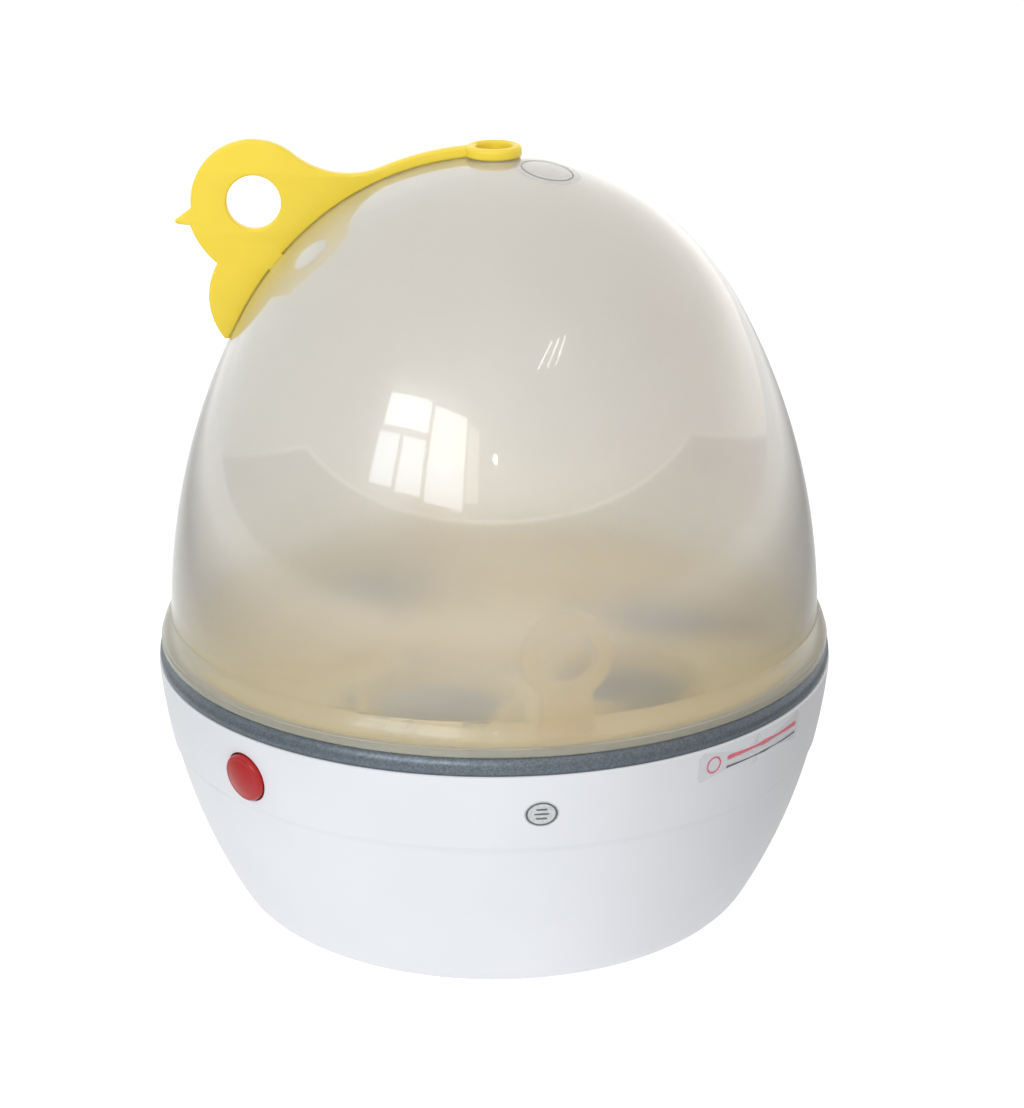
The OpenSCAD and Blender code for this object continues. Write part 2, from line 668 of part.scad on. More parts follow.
module dome_lid() {
    color("gainsboro", 0.7) difference() {
        rotate_extrude() polygon(concat(
            [[lip_inner_r, rim_z], [lip_r - 1.1, rim_z]],
            arc_on([lip_r - 1.1, rim_z + 1.1], 1.1, -90, 0, 4),
            [[lip_r, rim_z + lip_h]],
            arc(flare_c, flare_r, flare_angles[0], flare_angles[1], 4),
            dome_outline(0, flare_top_z + 0.5),
            reversed(dome_outline(-dome_wall, flare_top_z + 0.5)),
            [[lip_inner_r, rim_z + lip_h]]));
        translate([0, 0, dome_top_z - 4]) cylinder(r = vent_r, h = 6);
        tongue_slot(tongue_gap);
    }
}

module chick_handle() {
    strip_end = 90 - asin(4 / strip_r);
    outline = concat(
        arc(dome_c3, strip_r, strip_end, nape_turn, 8),
        arc_on(nape_c, nape_r, nape_turn - 180, nape_to_head, 8),
        arc_on(head_c, head_r, nape_to_head + 180, -5, 14),
        [[74.4, rim_z + 102.6], [73.8, rim_z + 101.8]],
        arc(cheek_c, cheek_r, -17, -50, 5),
        arc_on(breast_c, breast_r, 29, -40, 8),
        [[50, rim_z + 70], [0, rim_z + 70]]);
    color("gold") {
        difference() {
            union() {
                rotate([90, 0, 0]) linear_extrude(plate_t, center = true) mirror([1, 0]) difference() {
                    polygon(outline);
                    polygon(concat(dome_outline(handle_gap, flare_top_z), [[0, flare_top_z]]));
                }
                translate([0, 0, vent_ring_z[0]])
                    cylinder(r = vent_ring_r, h = vent_ring_z[1] - vent_ring_z[0]);
            }
            translate([-head_c[0], 0, head_c[1]]) rotate([90, 0, 0])
                cylinder(r = finger_r, h = plate_t + 2 * over, center = true);
            translate([0, 0, vent_ring_z[0] - 3]) cylinder(r = vent_ring_r - 2.2, h = 10);
        }
        difference() {
            tongue_slot(0);
            rotate_extrude()
                polygon(concat(dome_outline(-dome_wall - 2.2, flare_top_z), [[0, flare_top_z]]));
        }
    }
}

outer_body();
bottom_cover();
cover_screws();
rubber_feet();
trim_ring();
trim_screws();
water_pan();
pan_seal();
heat_spreader();
heating_element();
element_clips();
thermostat();
thermostat_bracket();
bracket_screws();
thermal_fuse();
fuse_sleeve();
power_button();
button_spring();
push_switch();
switch_screws();
terminal_block();
terminal_screws();
supply_wires();
heater_wires();
cord_gland();
cord_clamp();
clamp_screws();
egg_tray();
dome_lid();
chick_handle();
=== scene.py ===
import math

import bmesh
import bpy
from mathutils import Matrix, Vector


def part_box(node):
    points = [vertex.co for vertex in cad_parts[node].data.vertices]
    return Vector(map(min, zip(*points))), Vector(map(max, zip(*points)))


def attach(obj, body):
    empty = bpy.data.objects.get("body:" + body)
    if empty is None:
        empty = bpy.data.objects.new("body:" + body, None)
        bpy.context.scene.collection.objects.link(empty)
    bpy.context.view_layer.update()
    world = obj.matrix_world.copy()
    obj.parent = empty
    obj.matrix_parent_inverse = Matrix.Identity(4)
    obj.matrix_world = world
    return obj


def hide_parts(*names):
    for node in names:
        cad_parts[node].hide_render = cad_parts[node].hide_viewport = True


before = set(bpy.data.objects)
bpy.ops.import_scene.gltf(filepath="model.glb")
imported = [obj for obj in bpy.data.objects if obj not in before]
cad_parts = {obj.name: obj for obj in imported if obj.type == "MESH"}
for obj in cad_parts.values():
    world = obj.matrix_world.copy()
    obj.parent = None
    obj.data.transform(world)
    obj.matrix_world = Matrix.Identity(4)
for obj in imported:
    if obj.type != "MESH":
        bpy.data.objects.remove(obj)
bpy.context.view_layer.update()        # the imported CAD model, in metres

# Profiles are drawn in millimetres as (radius, height) about the vertical axis, in the shared frame.
# -Y is the front, and a turn about the axis is measured from the front towards +X.

MM = 0.001
SEGMENTS = 256                    # steps round the large turned pieces
SMALL_SEGMENTS = 64               # steps round screws, feet and other small ones
SHARP = 38                        # edges steeper than this many degrees stay sharp


def low(name):
    """Lowest corner of a CAD node, in mm."""
    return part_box(name)[0] / MM


def high(name):
    """Highest corner of a CAD node, in mm."""
    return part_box(name)[1] / MM


# ---------------------------------------------------------------- driving sizes, in mm
RIM = low("dome_lid").z           # plane where the lid stands on the trim ring

WALL = 2.4
FLOOR = low("outer_body").z       # underside of the bowl
CORNER_R = 11.5                   # rounding between the bowl's floor and side
CORNER_C = (54.3, FLOOR + CORNER_R)
SIDE_R = 136.2
SIDE_START = 29.4                 # degrees below the level where the side's arc takes over
SIDE_C = (
    CORNER_C[0] - (SIDE_R - CORNER_R) * math.cos(math.radians(SIDE_START)),
    CORNER_C[1] + (SIDE_R - CORNER_R) * math.sin(math.radians(SIDE_START)),
)
STEP_Z = 45.5                     # faint step in the side
BAND = 0.4                        # how far the band above the step stands proud
BODY_TOP = RIM - 4
LEDGE = (60, 62, 71.5)            # underside, top and inner radius
OPENING_R = 46                    # hole in the bowl's floor
RECESS_R = 50                     # recess round it for the cover

LIP_R = high("dome_lid").x
LIP_H = 2.2
LIP_INNER_R = 79
DOME_R = 78.6
DOME_WALL = 1.8
DOME_R1, DOME_R2 = 158.8, 75.9    # lower two of the dome's three arcs
JOIN_1, JOIN_2 = 28.7, 50         # degrees above the level where they meet
DOME_C1 = (DOME_R - DOME_R1, RIM + 4.6)
DOME_C2 = (
    DOME_C1[0] + (DOME_R1 - DOME_R2) * math.cos(math.radians(JOIN_1)),
    DOME_C1[1] + (DOME_R1 - DOME_R2) * math.sin(math.radians(JOIN_1)),
)
DOME_R3 = DOME_R2 + DOME_C2[0] / math.cos(math.radians(JOIN_2))
DOME_C3 = (0, DOME_C2[1] + (DOME_R2 - DOME_R3) * math.sin(math.radians(JOIN_2)))
FLARE_R = 15.9                    # hollow flare between the lip and the dome
FLARE = (12, 34)                  # its first and last degrees
FLARE_C = (
    LIP_R - 0.15 - FLARE_R * math.cos(math.radians(FLARE[0])),
    RIM + LIP_H - FLARE_R * math.sin(math.radians(FLARE[0])),
)
VENT_R = 3.5

CROWN_R = 3.3                     # rounded outer edge of the trim ring
CROWN_C = (78.3, RIM - 2.4)
WEB_Z = low("trim_ring").z        # underside of the web that clamps the pan
TRAY_Z = low("egg_tray").z + 3    # underside of the tray's plate

BUTTON_TURN = -45
BUTTON_Z = 54
BUTTON_R = 5.75
# Slope of the bowl at the button, and the radius of the bowl there.
BUTTON_TILT = math.degrees(math.asin((SIDE_C[1] - BUTTON_Z) / (SIDE_R + BAND)))
BUTTON_SURFACE = SIDE_C[0] + (SIDE_R + BAND) * math.cos(math.radians(BUTTON_TILT))
BUTTON_GAP = 0.35

TRAY_TURN = 13.3
SEAT_RING_R = 45
SEAT_R = 17
LUG_T = 3
LUG_PLACE_R = 69

SCREW_TURNS = (0, 120, 240)
PILOT_R = 1.05                    # bores that screws cut their thread in
CLEAR_R = 1.7                     # bores that screws pass through
PILLAR_X = 10.5                   # screw pillars of the switch, either side of the button
INLET_Z = 16
FILM_LIFT, FILM_T = 0.02, 0.05    # label films, and the ink printed on them
INK_LIFT, INK_T = 0.07, 0.03


# ---------------------------------------------------------------- shapes
def arc(centre, radius, start, end, steps):
    """Points along an arc between two angles in degrees."""
    turns = [math.radians(start + (end - start) * i / steps) for i in range(steps + 1)]
    return [(centre[0] + radius * math.cos(t), centre[1] + radius * math.sin(t)) for t in turns]


def fillet(corners, steps=5):
    """Closed outline through corners (x, y, radius), each rounded to its radius."""
    outline = []
    for before, here, after in zip(corners[-1:] + corners[:-1], corners, corners[1:] + corners[:1]):
        point = Vector(here[:2])
        radius = here[2]
        if radius == 0:
            outline.append(tuple(point))
            continue
        to_before = (Vector(before[:2]) - point).normalized()
        to_after = (Vector(after[:2]) - point).normalized()
        half = to_before.angle(to_after) / 2
        centre = point + (to_before + to_after).normalized() * radius / math.sin(half)
        first = point + to_before * radius / math.tan(half) - centre
        last = point + to_after * radius / math.tan(half) - centre
        start = math.atan2(first.y, first.x)
        turn = (math.atan2(last.y, last.x) - start + math.pi) % (2 * math.pi) - math.pi
        outline += arc(centre, radius, math.degrees(start), math.degrees(start + turn), steps)
    return outline


def lathe(profile, segments=SEGMENTS):
    """Solid of revolution about +Z from a closed profile."""
    bm = bmesh.new()
    rings = []
    for r, z in profile:
        count = segments if r > 1e-4 else 1
        turns = [2 * math.pi * i / segments for i in range(count)]
        rings.append([bm.verts.new((r * MM * math.cos(t), r * MM * math.sin(t), z * MM)) for t in turns])
    for a, b in zip(rings, rings[1:] + rings[:1]):
        for i in range(segments):
            j = (i + 1) % segments
            corners = [a[i % len(a)], a[j % len(a)], b[j % len(b)], b[i % len(b)]]
            corners = list(dict.fromkeys(corners))
            if len(corners) > 2:
                bm.faces.new(corners)
    bmesh.ops.recalc_face_normals(bm, faces=bm.faces)
    return bm


def plate(outlines, thickness, edge):
    """Flat plate in the XY plane with rounded edges, from closed outlines, the first one outside."""
    curve = bpy.data.curves.new("plate", "CURVE")
    curve.dimensions = "2D"
    curve.fill_mode = "BOTH"
    curve.extrude = (thickness / 2 - edge) * MM
    curve.bevel_depth = edge * MM
    curve.bevel_resolution = 3
    curve.offset = -edge * MM
    for outline in outlines:
        spline = curve.splines.new("POLY")
        spline.points.add(len(outline) - 1)
        for point, (x, y) in zip(spline.points, outline):
            point.co = (x * MM, y * MM, 0, 1)
        spline.use_cyclic_u = True
    carrier = bpy.data.objects.new("plate", curve)
    bpy.context.scene.collection.objects.link(carrier)
    mesh = bpy.data.meshes.new_from_object(carrier.evaluated_get(bpy.context.evaluated_depsgraph_get()))
    bm = bmesh.new()
    bm.from_mesh(mesh)
    bmesh.ops.remove_doubles(bm, verts=bm.verts, dist=1e-6)
    bmesh.ops.recalc_face_normals(bm, faces=bm.faces)
    bpy.data.objects.remove(carrier)
    bpy.data.curves.remove(curve)
    bpy.data.meshes.remove(mesh)
    return bm


def box_solid(size, centre=(0, 0, 0)):
    """Block with sides in mm, for cutting and joining."""
    bm = bmesh.new()
    bmesh.ops.create_cube(bm, size=1)
    for v in bm.verts:
        v.co = [(c + s * x) * MM for c, s, x in zip(centre, size, v.co)]
    return bm


def tube(points, radius, sides=16):
    """Round wire along points in mm, closed at both ends."""
    bm = bmesh.new()
    rings = []
    points = [Vector(p) * MM for p in points]
    last = len(points) - 1
    side = None
    for i, p in enumerate(points):
        along = (points[min(i + 1, last)] - points[max(i - 1, 0)]).normalized()
        side = along.orthogonal() if side is None else side - along * side.dot(along)
        side.normalize()
        across = along.cross(side)
        turns = [2 * math.pi * k / sides for k in range(sides)]
        spokes = [side * math.cos(t) + across * math.sin(t) for t in turns]
        rings.append([bm.verts.new(p + spoke * radius * MM) for spoke in spokes])
    for a, b in zip(rings, rings[1:]):
        for k in range(sides):
            bm.faces.new((a[k], a[(k + 1) % sides], b[(k + 1) % sides], b[k]))
    bm.faces.new(rings[0])
    bm.faces.new(rings[-1])
    bmesh.ops.recalc_face_normals(bm, faces=bm.faces)
    return bm


def smooth_route(points, steps=8):
    """Points on a Catmull-Rom curve through the given ones."""
    knots = [Vector(p) for p in points]
    knots = [2 * knots[0] - knots[1]] + knots + [2 * knots[-1] - knots[-2]]
    route = []
    for a, b, c, d in zip(knots, knots[1:], knots[2:], knots[3:]):
        for i in range(steps):
            t = i / steps
            route.append(
                0.5 * (2 * b + (c - a) * t + (2 * a - 5 * b + 4 * c - d) * t ** 2
                       + (3 * b - a - 3 * c + d) * t ** 3)
            )
    return route + [knots[-2]]


def shift(x, y, z):
    """Move by distances in mm."""
    return Matrix.Translation(Vector((x, y, z)) * MM)


def rotation(degrees, axis="X"):
    """Rotation about an axis through the origin."""
    return Matrix.Rotation(math.radians(degrees), 4, axis)


def at_turn(turn, radius=0, z=0):
    """Place at a turn about the axis, with local -Y outwards, in mm."""
    return rotation(turn, "Z") @ shift(0, -radius, z)


def at_button():
    """The button's own frame, with local +Z out along the bowl's surface normal."""
    return at_turn(BUTTON_TURN, BUTTON_SURFACE, BUTTON_Z) @ rotation(90 + BUTTON_TILT)


COVER_SCREWS = [at_turn(turn, 44.3) for turn in SCREW_TURNS]
TRIM_SCREWS = [at_turn(turn, 75) for turn in SCREW_TURNS]
FEET = [at_turn(45 + 90 * i, 37) for i in range(4)]
CLAMP_PILLARS = [shift(side * 10, 38, 0) for side in (-1, 1)]


def repeated(profile, places, segments=SMALL_SEGMENTS):
    """The same turned solid at several places, as parts for combine or joined."""
    return [(lathe(profile, segments), place) for place in places]


def joined(parts):
    """One bmesh from (bmesh, matrix) pairs."""
    whole = bmesh.new()
    for bm, matrix in parts:
        bm.transform(matrix)
        mesh = bpy.data.meshes.new("part")
        bm.to_mesh(mesh)
        bm.free()
        whole.from_mesh(mesh)
        bpy.data.meshes.remove(mesh)
    return whole


def to_object(name, bm):
    """Scene object from a bmesh, which is freed."""
    mesh = bpy.data.meshes.new(name)
    bm.to_mesh(mesh)
    bm.free()
    made = bpy.data.objects.new(name, mesh)
    bpy.context.scene.collection.objects.link(made)
    return made


def combine(target, parts, operation):
    """Joins to or cuts from target the (bmesh, matrix) parts, which don't touch each other."""
    other = to_object("other", joined(parts))
    step = target.modifiers.new("combine", "BOOLEAN")
    step.operation = operation
    step.solver = "EXACT"
    step.object = other
    mesh = bpy.data.meshes.new_from_object(target.evaluated_get(bpy.context.evaluated_depsgraph_get()))
    target.modifiers.clear()
    before = target.data
    target.data = mesh
    bpy.data.meshes.remove(before)
    bpy.data.objects.remove(other)


def finish_piece(piece, material, body, replaced=(), sharp=SHARP):
    """Shades a new piece, gives it its material and its body, and hides the CAD nodes it replaces."""
    piece.data.shade_smooth()
    piece.data.set_sharp_from_angle(angle=math.radians(sharp))
    piece.data.materials.clear()
    piece.data.materials.append(material)
    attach(piece, body)
    if replaced:
        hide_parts(*replaced)
    return piece


# ---------------------------------------------------------------- materials
def srgb(*channels):
    """Linear colour from 0 to 255 display values."""
    scaled = [c / 255 for c in channels]
    return tuple(c / 12.92 if c <= 0.04045 else ((c + 0.055) / 1.055) ** 2.4 for c in scaled) + (1,)


def node(tree, kind, inputs=None, **settings):
    """New shader node, with its inputs linked or set by name or number."""
    made = tree.nodes.new(kind)
    for key, value in settings.items():
        setattr(made, key, value)
    for key, value in (inputs or {}).items():
        if isinstance(value, bpy.types.NodeSocket):
            tree.links.new(value, made.inputs[key])
        else:
            made.inputs[key].default_value = value
    return made


def start_material(name):
    """New material with its node tree, its Principled shader and the object's coordinates."""
    material = bpy.data.materials.new(name)
    material.use_nodes = True
    tree = material.node_tree
    place = node(tree, "ShaderNodeTexCoord").outputs["Object"]
    return material, tree, tree.nodes["Principled BSDF"], place


def noise(tree, place, scale, detail=2.0, roughness=0.5):
    """Noise between 0 and 1, mostly from 0.3 to 0.7."""
    inputs = {"Vector": place, "Scale": scale, "Detail": detail, "Roughness": roughness}
    return node(tree, "ShaderNodeTexNoise", inputs).outputs["Fac"]


def remap(tree, value, start, end, first, last):
    """Takes a value from the range start to end over to first to last, and stops there."""
    inputs = {"Value": value, "From Min": start, "From Max": end, "To Min": first, "To Max": last}
    return node(tree, "ShaderNodeMapRange", inputs).outputs["Result"]


def math_node(tree, operation, a, b=0.0):
    return node(tree, "ShaderNodeMath", {0: a, 1: b}, operation=operation).outputs[0]


def mix_colour(tree, factor, first, second):
    return node(tree, "ShaderNodeMix", {0: factor, 6: first, 7: second}, data_type="RGBA").outputs[2]


def mix_value(tree, factor, first, second):
    return node(tree, "ShaderNodeMix", {0: factor, 2: first, 3: second}, data_type="FLOAT").outputs[0]


def bump(tree, height, distance, strength=1.0, normal=None):
    """Normal from a height, on top of another normal if one is given."""
    inputs = {"Height": height, "Distance": distance, "Strength": strength}
    if normal is not None:
        inputs["Normal"] = normal
    return node(tree, "ShaderNodeBump", inputs).outputs["Normal"]


def connect(tree, shader, colour, roughness, normal=None):
    """Links what varies over the surface to the shader."""
    tree.links.new(colour, shader.inputs["Base Color"])
    tree.links.new(roughness, shader.inputs["Roughness"])
    if normal is not None:
        tree.links.new(normal, shader.inputs["Normal"])


def shade_of(colour, factor):
    """The colour made darker or lighter."""
    return tuple(c * factor for c in colour[:3]) + (1,)


def highlight_edge_mask(tree):
    """1 close to an edge and 0 on open faces."""
    softened = node(tree, "ShaderNodeBevel", {"Radius": 0.0005}, samples=3)
    normal = node(tree, "ShaderNodeNewGeometry").outputs["Normal"]
    likeness = node(tree, "ShaderNodeVectorMath", {0: softened.outputs[0], 1: normal},
                    operation="DOT_PRODUCT")
    return remap(tree, likeness.outputs["Value"], 0.995, 0.9, 0, 1)


def moulded(name, colour, roughness=0.25, grain=0.000012):
    """Injection-moulded plastic: slight colour drift, orange peel, fine scratches and a painted highlight
    that lightens the edges.
    """
    material, tree, shader, place = start_material(name)
    drift = noise(tree, place, 22, 3)
    tone = mix_colour(tree, remap(tree, drift, 0.3, 0.7, 0, 1), shade_of(colour, 0.965),
                      shade_of(colour, 1.025))
    # Painted highlight: the colour is lightened close to edges.
    edge_highlighted = mix_colour(tree, math_node(tree, "MULTIPLY", highlight_edge_mask(tree), 0.25), tone, shade_of(colour, 1.12))
    smudges = noise(tree, place, 45, 4, 0.6)
    gloss = remap(tree, smudges, 0.35, 0.7, roughness - 0.04, roughness + 0.06)
    peel = bump(tree, noise(tree, place, 420, 2), grain, 0.6)
    fine = bump(tree, noise(tree, place, 2600, 1), grain / 3, 0.5, peel)
    connect(tree, shader, edge_highlighted, gloss, fine)
    return material


def painted_metal(name, colour, roughness):
    """Metallic paint: flakes of different brightness under a satin surface, and a painted highlight that
    lightens the edges.
    """
    material, tree, shader, place = start_material(name)
    cells = node(tree, "ShaderNodeTexVoronoi", {"Vector": place, "Scale": 2600})
    flake = node(tree, "ShaderNodeSeparateColor", {"Color": cells.outputs["Color"]}).outputs[0]
    tone = mix_colour(tree, flake, shade_of(colour, 0.78), shade_of(colour, 1.28))
    drift = remap(tree, noise(tree, place, 30, 3), 0.3, 0.7, 0, 0.25)
    dulled = mix_colour(tree, drift, tone, shade_of(colour, 0.8))
    # Painted highlight: the paint is made much lighter close to edges.
    edge_highlighted = mix_colour(tree, math_node(tree, "MULTIPLY", highlight_edge_mask(tree), 0.3), dulled, shade_of(colour, 1.7))
    gloss = remap(tree, noise(tree, place, 90, 4), 0.3, 0.7, roughness - 0.05, roughness + 0.07)
    connect(tree, shader, edge_highlighted, gloss, bump(tree, flake, 0.000006, 0.5))
    shader.inputs["Metallic"].default_value = 0.55
    return material


def brushed_metal(name, colour, roughness, spin=True):
    """Bare metal with fine brush lines, round the axis where it is spun."""
    material, tree, shader, place = start_material(name)
    if spin:
        x, y, z = node(tree, "ShaderNodeSeparateXYZ", {"Vector": place}).outputs
        squares = [math_node(tree, "MULTIPLY", axis, axis) for axis in (x, y)]
        radius = math_node(tree, "SQRT", math_node(tree, "ADD", *squares))
        stretched = math_node(tree, "MULTIPLY", math_node(tree, "ARCTAN2", x, y), 0.0015)
        lines_at = node(tree, "ShaderNodeCombineXYZ", {"X": radius, "Y": stretched, "Z": z}).outputs[0]
    else:
        lines_at = node(tree, "ShaderNodeMapping", {"Vector": place, "Scale": (0.05, 1, 1)}).outputs["Vector"]
    lines = noise(tree, lines_at, 2400, 3, 0.6)
    blotch = noise(tree, place, 40, 4, 0.6)
    tone = mix_colour(tree, remap(tree, lines, 0.3, 0.7, 0, 1), shade_of(colour, 0.86), shade_of(colour, 1.1))
    stained = mix_colour(tree, remap(tree, blotch, 0.5, 0.75, 0, 0.3), tone, shade_of(colour, 0.75))
    gloss = math_node(tree, "ADD", remap(tree, lines, 0.3, 0.7, roughness - 0.06, roughness + 0.08),
                      remap(tree, blotch, 0.45, 0.75, 0, 0.08))
    connect(tree, shader, stained, gloss, bump(tree, lines, 0.00001, 0.4))
    shader.inputs["Metallic"].default_value = 1
    return material


def soft_rubber(name, colour, roughness=0.65):
    """Rubber or silicone: dull, with dust in a fine pebbled skin."""
    material, tree, shader, place = start_material(name)
    pebbles = noise(tree, place, 1600, 2)
    dust = noise(tree, place, 120, 5, 0.7)
    tone = mix_colour(tree, remap(tree, dust, 0.45, 0.75, 0, 0.35), colour, shade_of(colour, 1.6))
    dull = remap(tree, dust, 0.3, 0.7, roughness - 0.1, roughness + 0.12)
    connect(tree, shader, tone, dull, bump(tree, pebbles, 0.00003, 0.5))
    return material


def woven_sleeve(name, colour):
    """Glass-fibre sleeve: crossing strands."""
    material, tree, shader, place = start_material(name)
    strands = [
        node(tree, "ShaderNodeTexWave", {"Vector": place, "Scale": 900, "Distortion": 1.5, "Detail": 1},
             bands_direction=direction).outputs["Fac"]
        for direction in ("X", "DIAGONAL")
    ]
    weave = math_node(tree, "MULTIPLY", *strands)
    tone = mix_colour(tree, weave, shade_of(colour, 0.7), colour)
    connect(tree, shader, tone, remap(tree, weave, 0, 1, 0.9, 0.65), bump(tree, weave, 0.0001, 0.7))
    return material


def frosted(name, colour, transmission, roughness):
    """Milky translucent plastic under a clear coat, with a painted yellow glow at its foot that stands for
    the yellow tray's light through it.
    """
    material, tree, shader, place = start_material(name)
    cloud = noise(tree, place, 16, 4, 0.55)
    speck = noise(tree, place, 900, 2)
    tone = mix_colour(tree, remap(tree, cloud, 0.3, 0.7, 0, 1), shade_of(colour, 0.965),
                      shade_of(colour, 0.995))
    haze = math_node(tree, "ADD", remap(tree, cloud, 0.3, 0.7, roughness - 0.02, roughness + 0.03),
                     remap(tree, speck, 0.6, 0.75, 0, 0.02))
    height = node(tree, "ShaderNodeSeparateXYZ", {"Vector": place}).outputs[2]
    # Painted glow: yellow is laid into the colour low on the dome and fades upwards, standing for the tray's
    # light showing through.
    tray_glow_painted = node(tree, "ShaderNodeMapRange", {0: height, 1: 0.072, 2: 0.098, 3: 0.5, 4: 0},
                  interpolation_type="SMOOTHSTEP").outputs[0]
    polished = remap(tree, height, 0.0775, 0.0805, 0.2, 1)     # the flare stays duller than the dome
    connect(tree, shader, mix_colour(tree, tray_glow_painted, tone, srgb(255, 248, 216)), haze)
    shader.inputs["Transmission Weight"].default_value = transmission
    shader.inputs["IOR"].default_value = 1.49
    tree.links.new(polished, shader.inputs["Coat Weight"])
    shader.inputs["Coat Roughness"].default_value = 0.035
    shader.inputs["Coat IOR"].default_value = 1.5
    return material


def clear_film(name, colour, alpha):
    """Thin clear label film with faint wrinkles."""
    material, tree, shader, place = start_material(name)
    wrinkles = noise(tree, place, 500, 3)
    tone = mix_colour(tree, wrinkles, colour, shade_of(colour, 1.05))
    gloss = remap(tree, wrinkles, 0.3, 0.7, 0.12, 0.24)
    connect(tree, shader, tone, gloss, bump(tree, wrinkles, 0.00002, 0.4))
    shader.inputs["Alpha"].default_value = alpha
    return material


def printed_ink(name, colour):
    """Printed ink with a slightly uneven density."""
    material, tree, shader, place = start_material(name)
    density = noise(tree, place, 1400, 3, 0.7)
    tone = mix_colour(tree, remap(tree, density, 0.35, 0.65, 0, 1), colour, shade_of(colour, 1.35))
    connect(tree, shader, tone, remap(tree, density, 0.3, 0.7, 0.3, 0.45))
    return material


WHITE = moulded("white_gloss", srgb(237, 239, 245), 0.33)
GRAPHITE = painted_metal("graphite_metallic", srgb(108, 117, 126), 0.36)
YELLOW = moulded("yellow_gloss", srgb(255, 225, 66), 0.33)
TRAY_YELLOW = moulded("tray_yellow", srgb(255, 219, 92), 0.33)
RED = moulded("red_gloss", srgb(180, 18, 24), 0.16, 0.000006)
DOME = frosted("milky_dome", srgb(255, 253, 250), 0.76, 0.21)
STEEL = brushed_metal("spun_steel", srgb(212, 216, 220), 0.36)
ALUMINIUM = brushed_metal("rolled_aluminium", srgb(205, 207, 210), 0.36, spin=False)
SHEATH = brushed_metal("oxidised_sheath", srgb(120, 116, 112), 0.45, spin=False)
ZINC = brushed_metal("zinc_plate", srgb(190, 190, 188), 0.36, spin=False)
BRASS = brushed_metal("brass", srgb(205, 170, 96), 0.36, spin=False)
RUBBER = soft_rubber("grey_rubber", srgb(122, 124, 126))
SILICONE = soft_rubber("red_silicone", srgb(150, 58, 48), 0.5)
CERAMIC = moulded("glazed_ceramic", srgb(226, 222, 210), 0.33)
BLACK = moulded("black_plastic", srgb(38, 38, 40), 0.4, 0.00003)
NATURAL = moulded("natural_nylon", srgb(226, 222, 206), 0.42, 0.00002)
SLEEVE = woven_sleeve("fibre_sleeve", srgb(226, 216, 190))
WIRE_BROWN = moulded("wire_brown", srgb(110, 66, 42), 0.42)
WIRE_BLUE = moulded("wire_blue", srgb(52, 96, 168), 0.42)
WIRE_WHITE = moulded("wire_white", srgb(222, 220, 210), 0.45)
FILM = clear_film("clear_film", srgb(226, 227, 232), 0.12)
INK_PALE = printed_ink("ink_pale", srgb(196, 199, 202))
INK_RED = printed_ink("ink_red", srgb(222, 108, 124))
INK_DARK = printed_ink("ink_dark", srgb(96, 97, 102))


# ---------------------------------------------------------------- bowl
def bowl_radius(z):
    """Radius of the bowl's outer surface on the band above the step."""
    return SIDE_C[0] + math.sqrt((SIDE_R + BAND) ** 2 - (z - SIDE_C[1]) ** 2)


def side_angle(z, radius):
    """Angle at which an arc about the side's centre reaches a height."""
    return -math.degrees(math.asin((SIDE_C[1] - z) / radius))


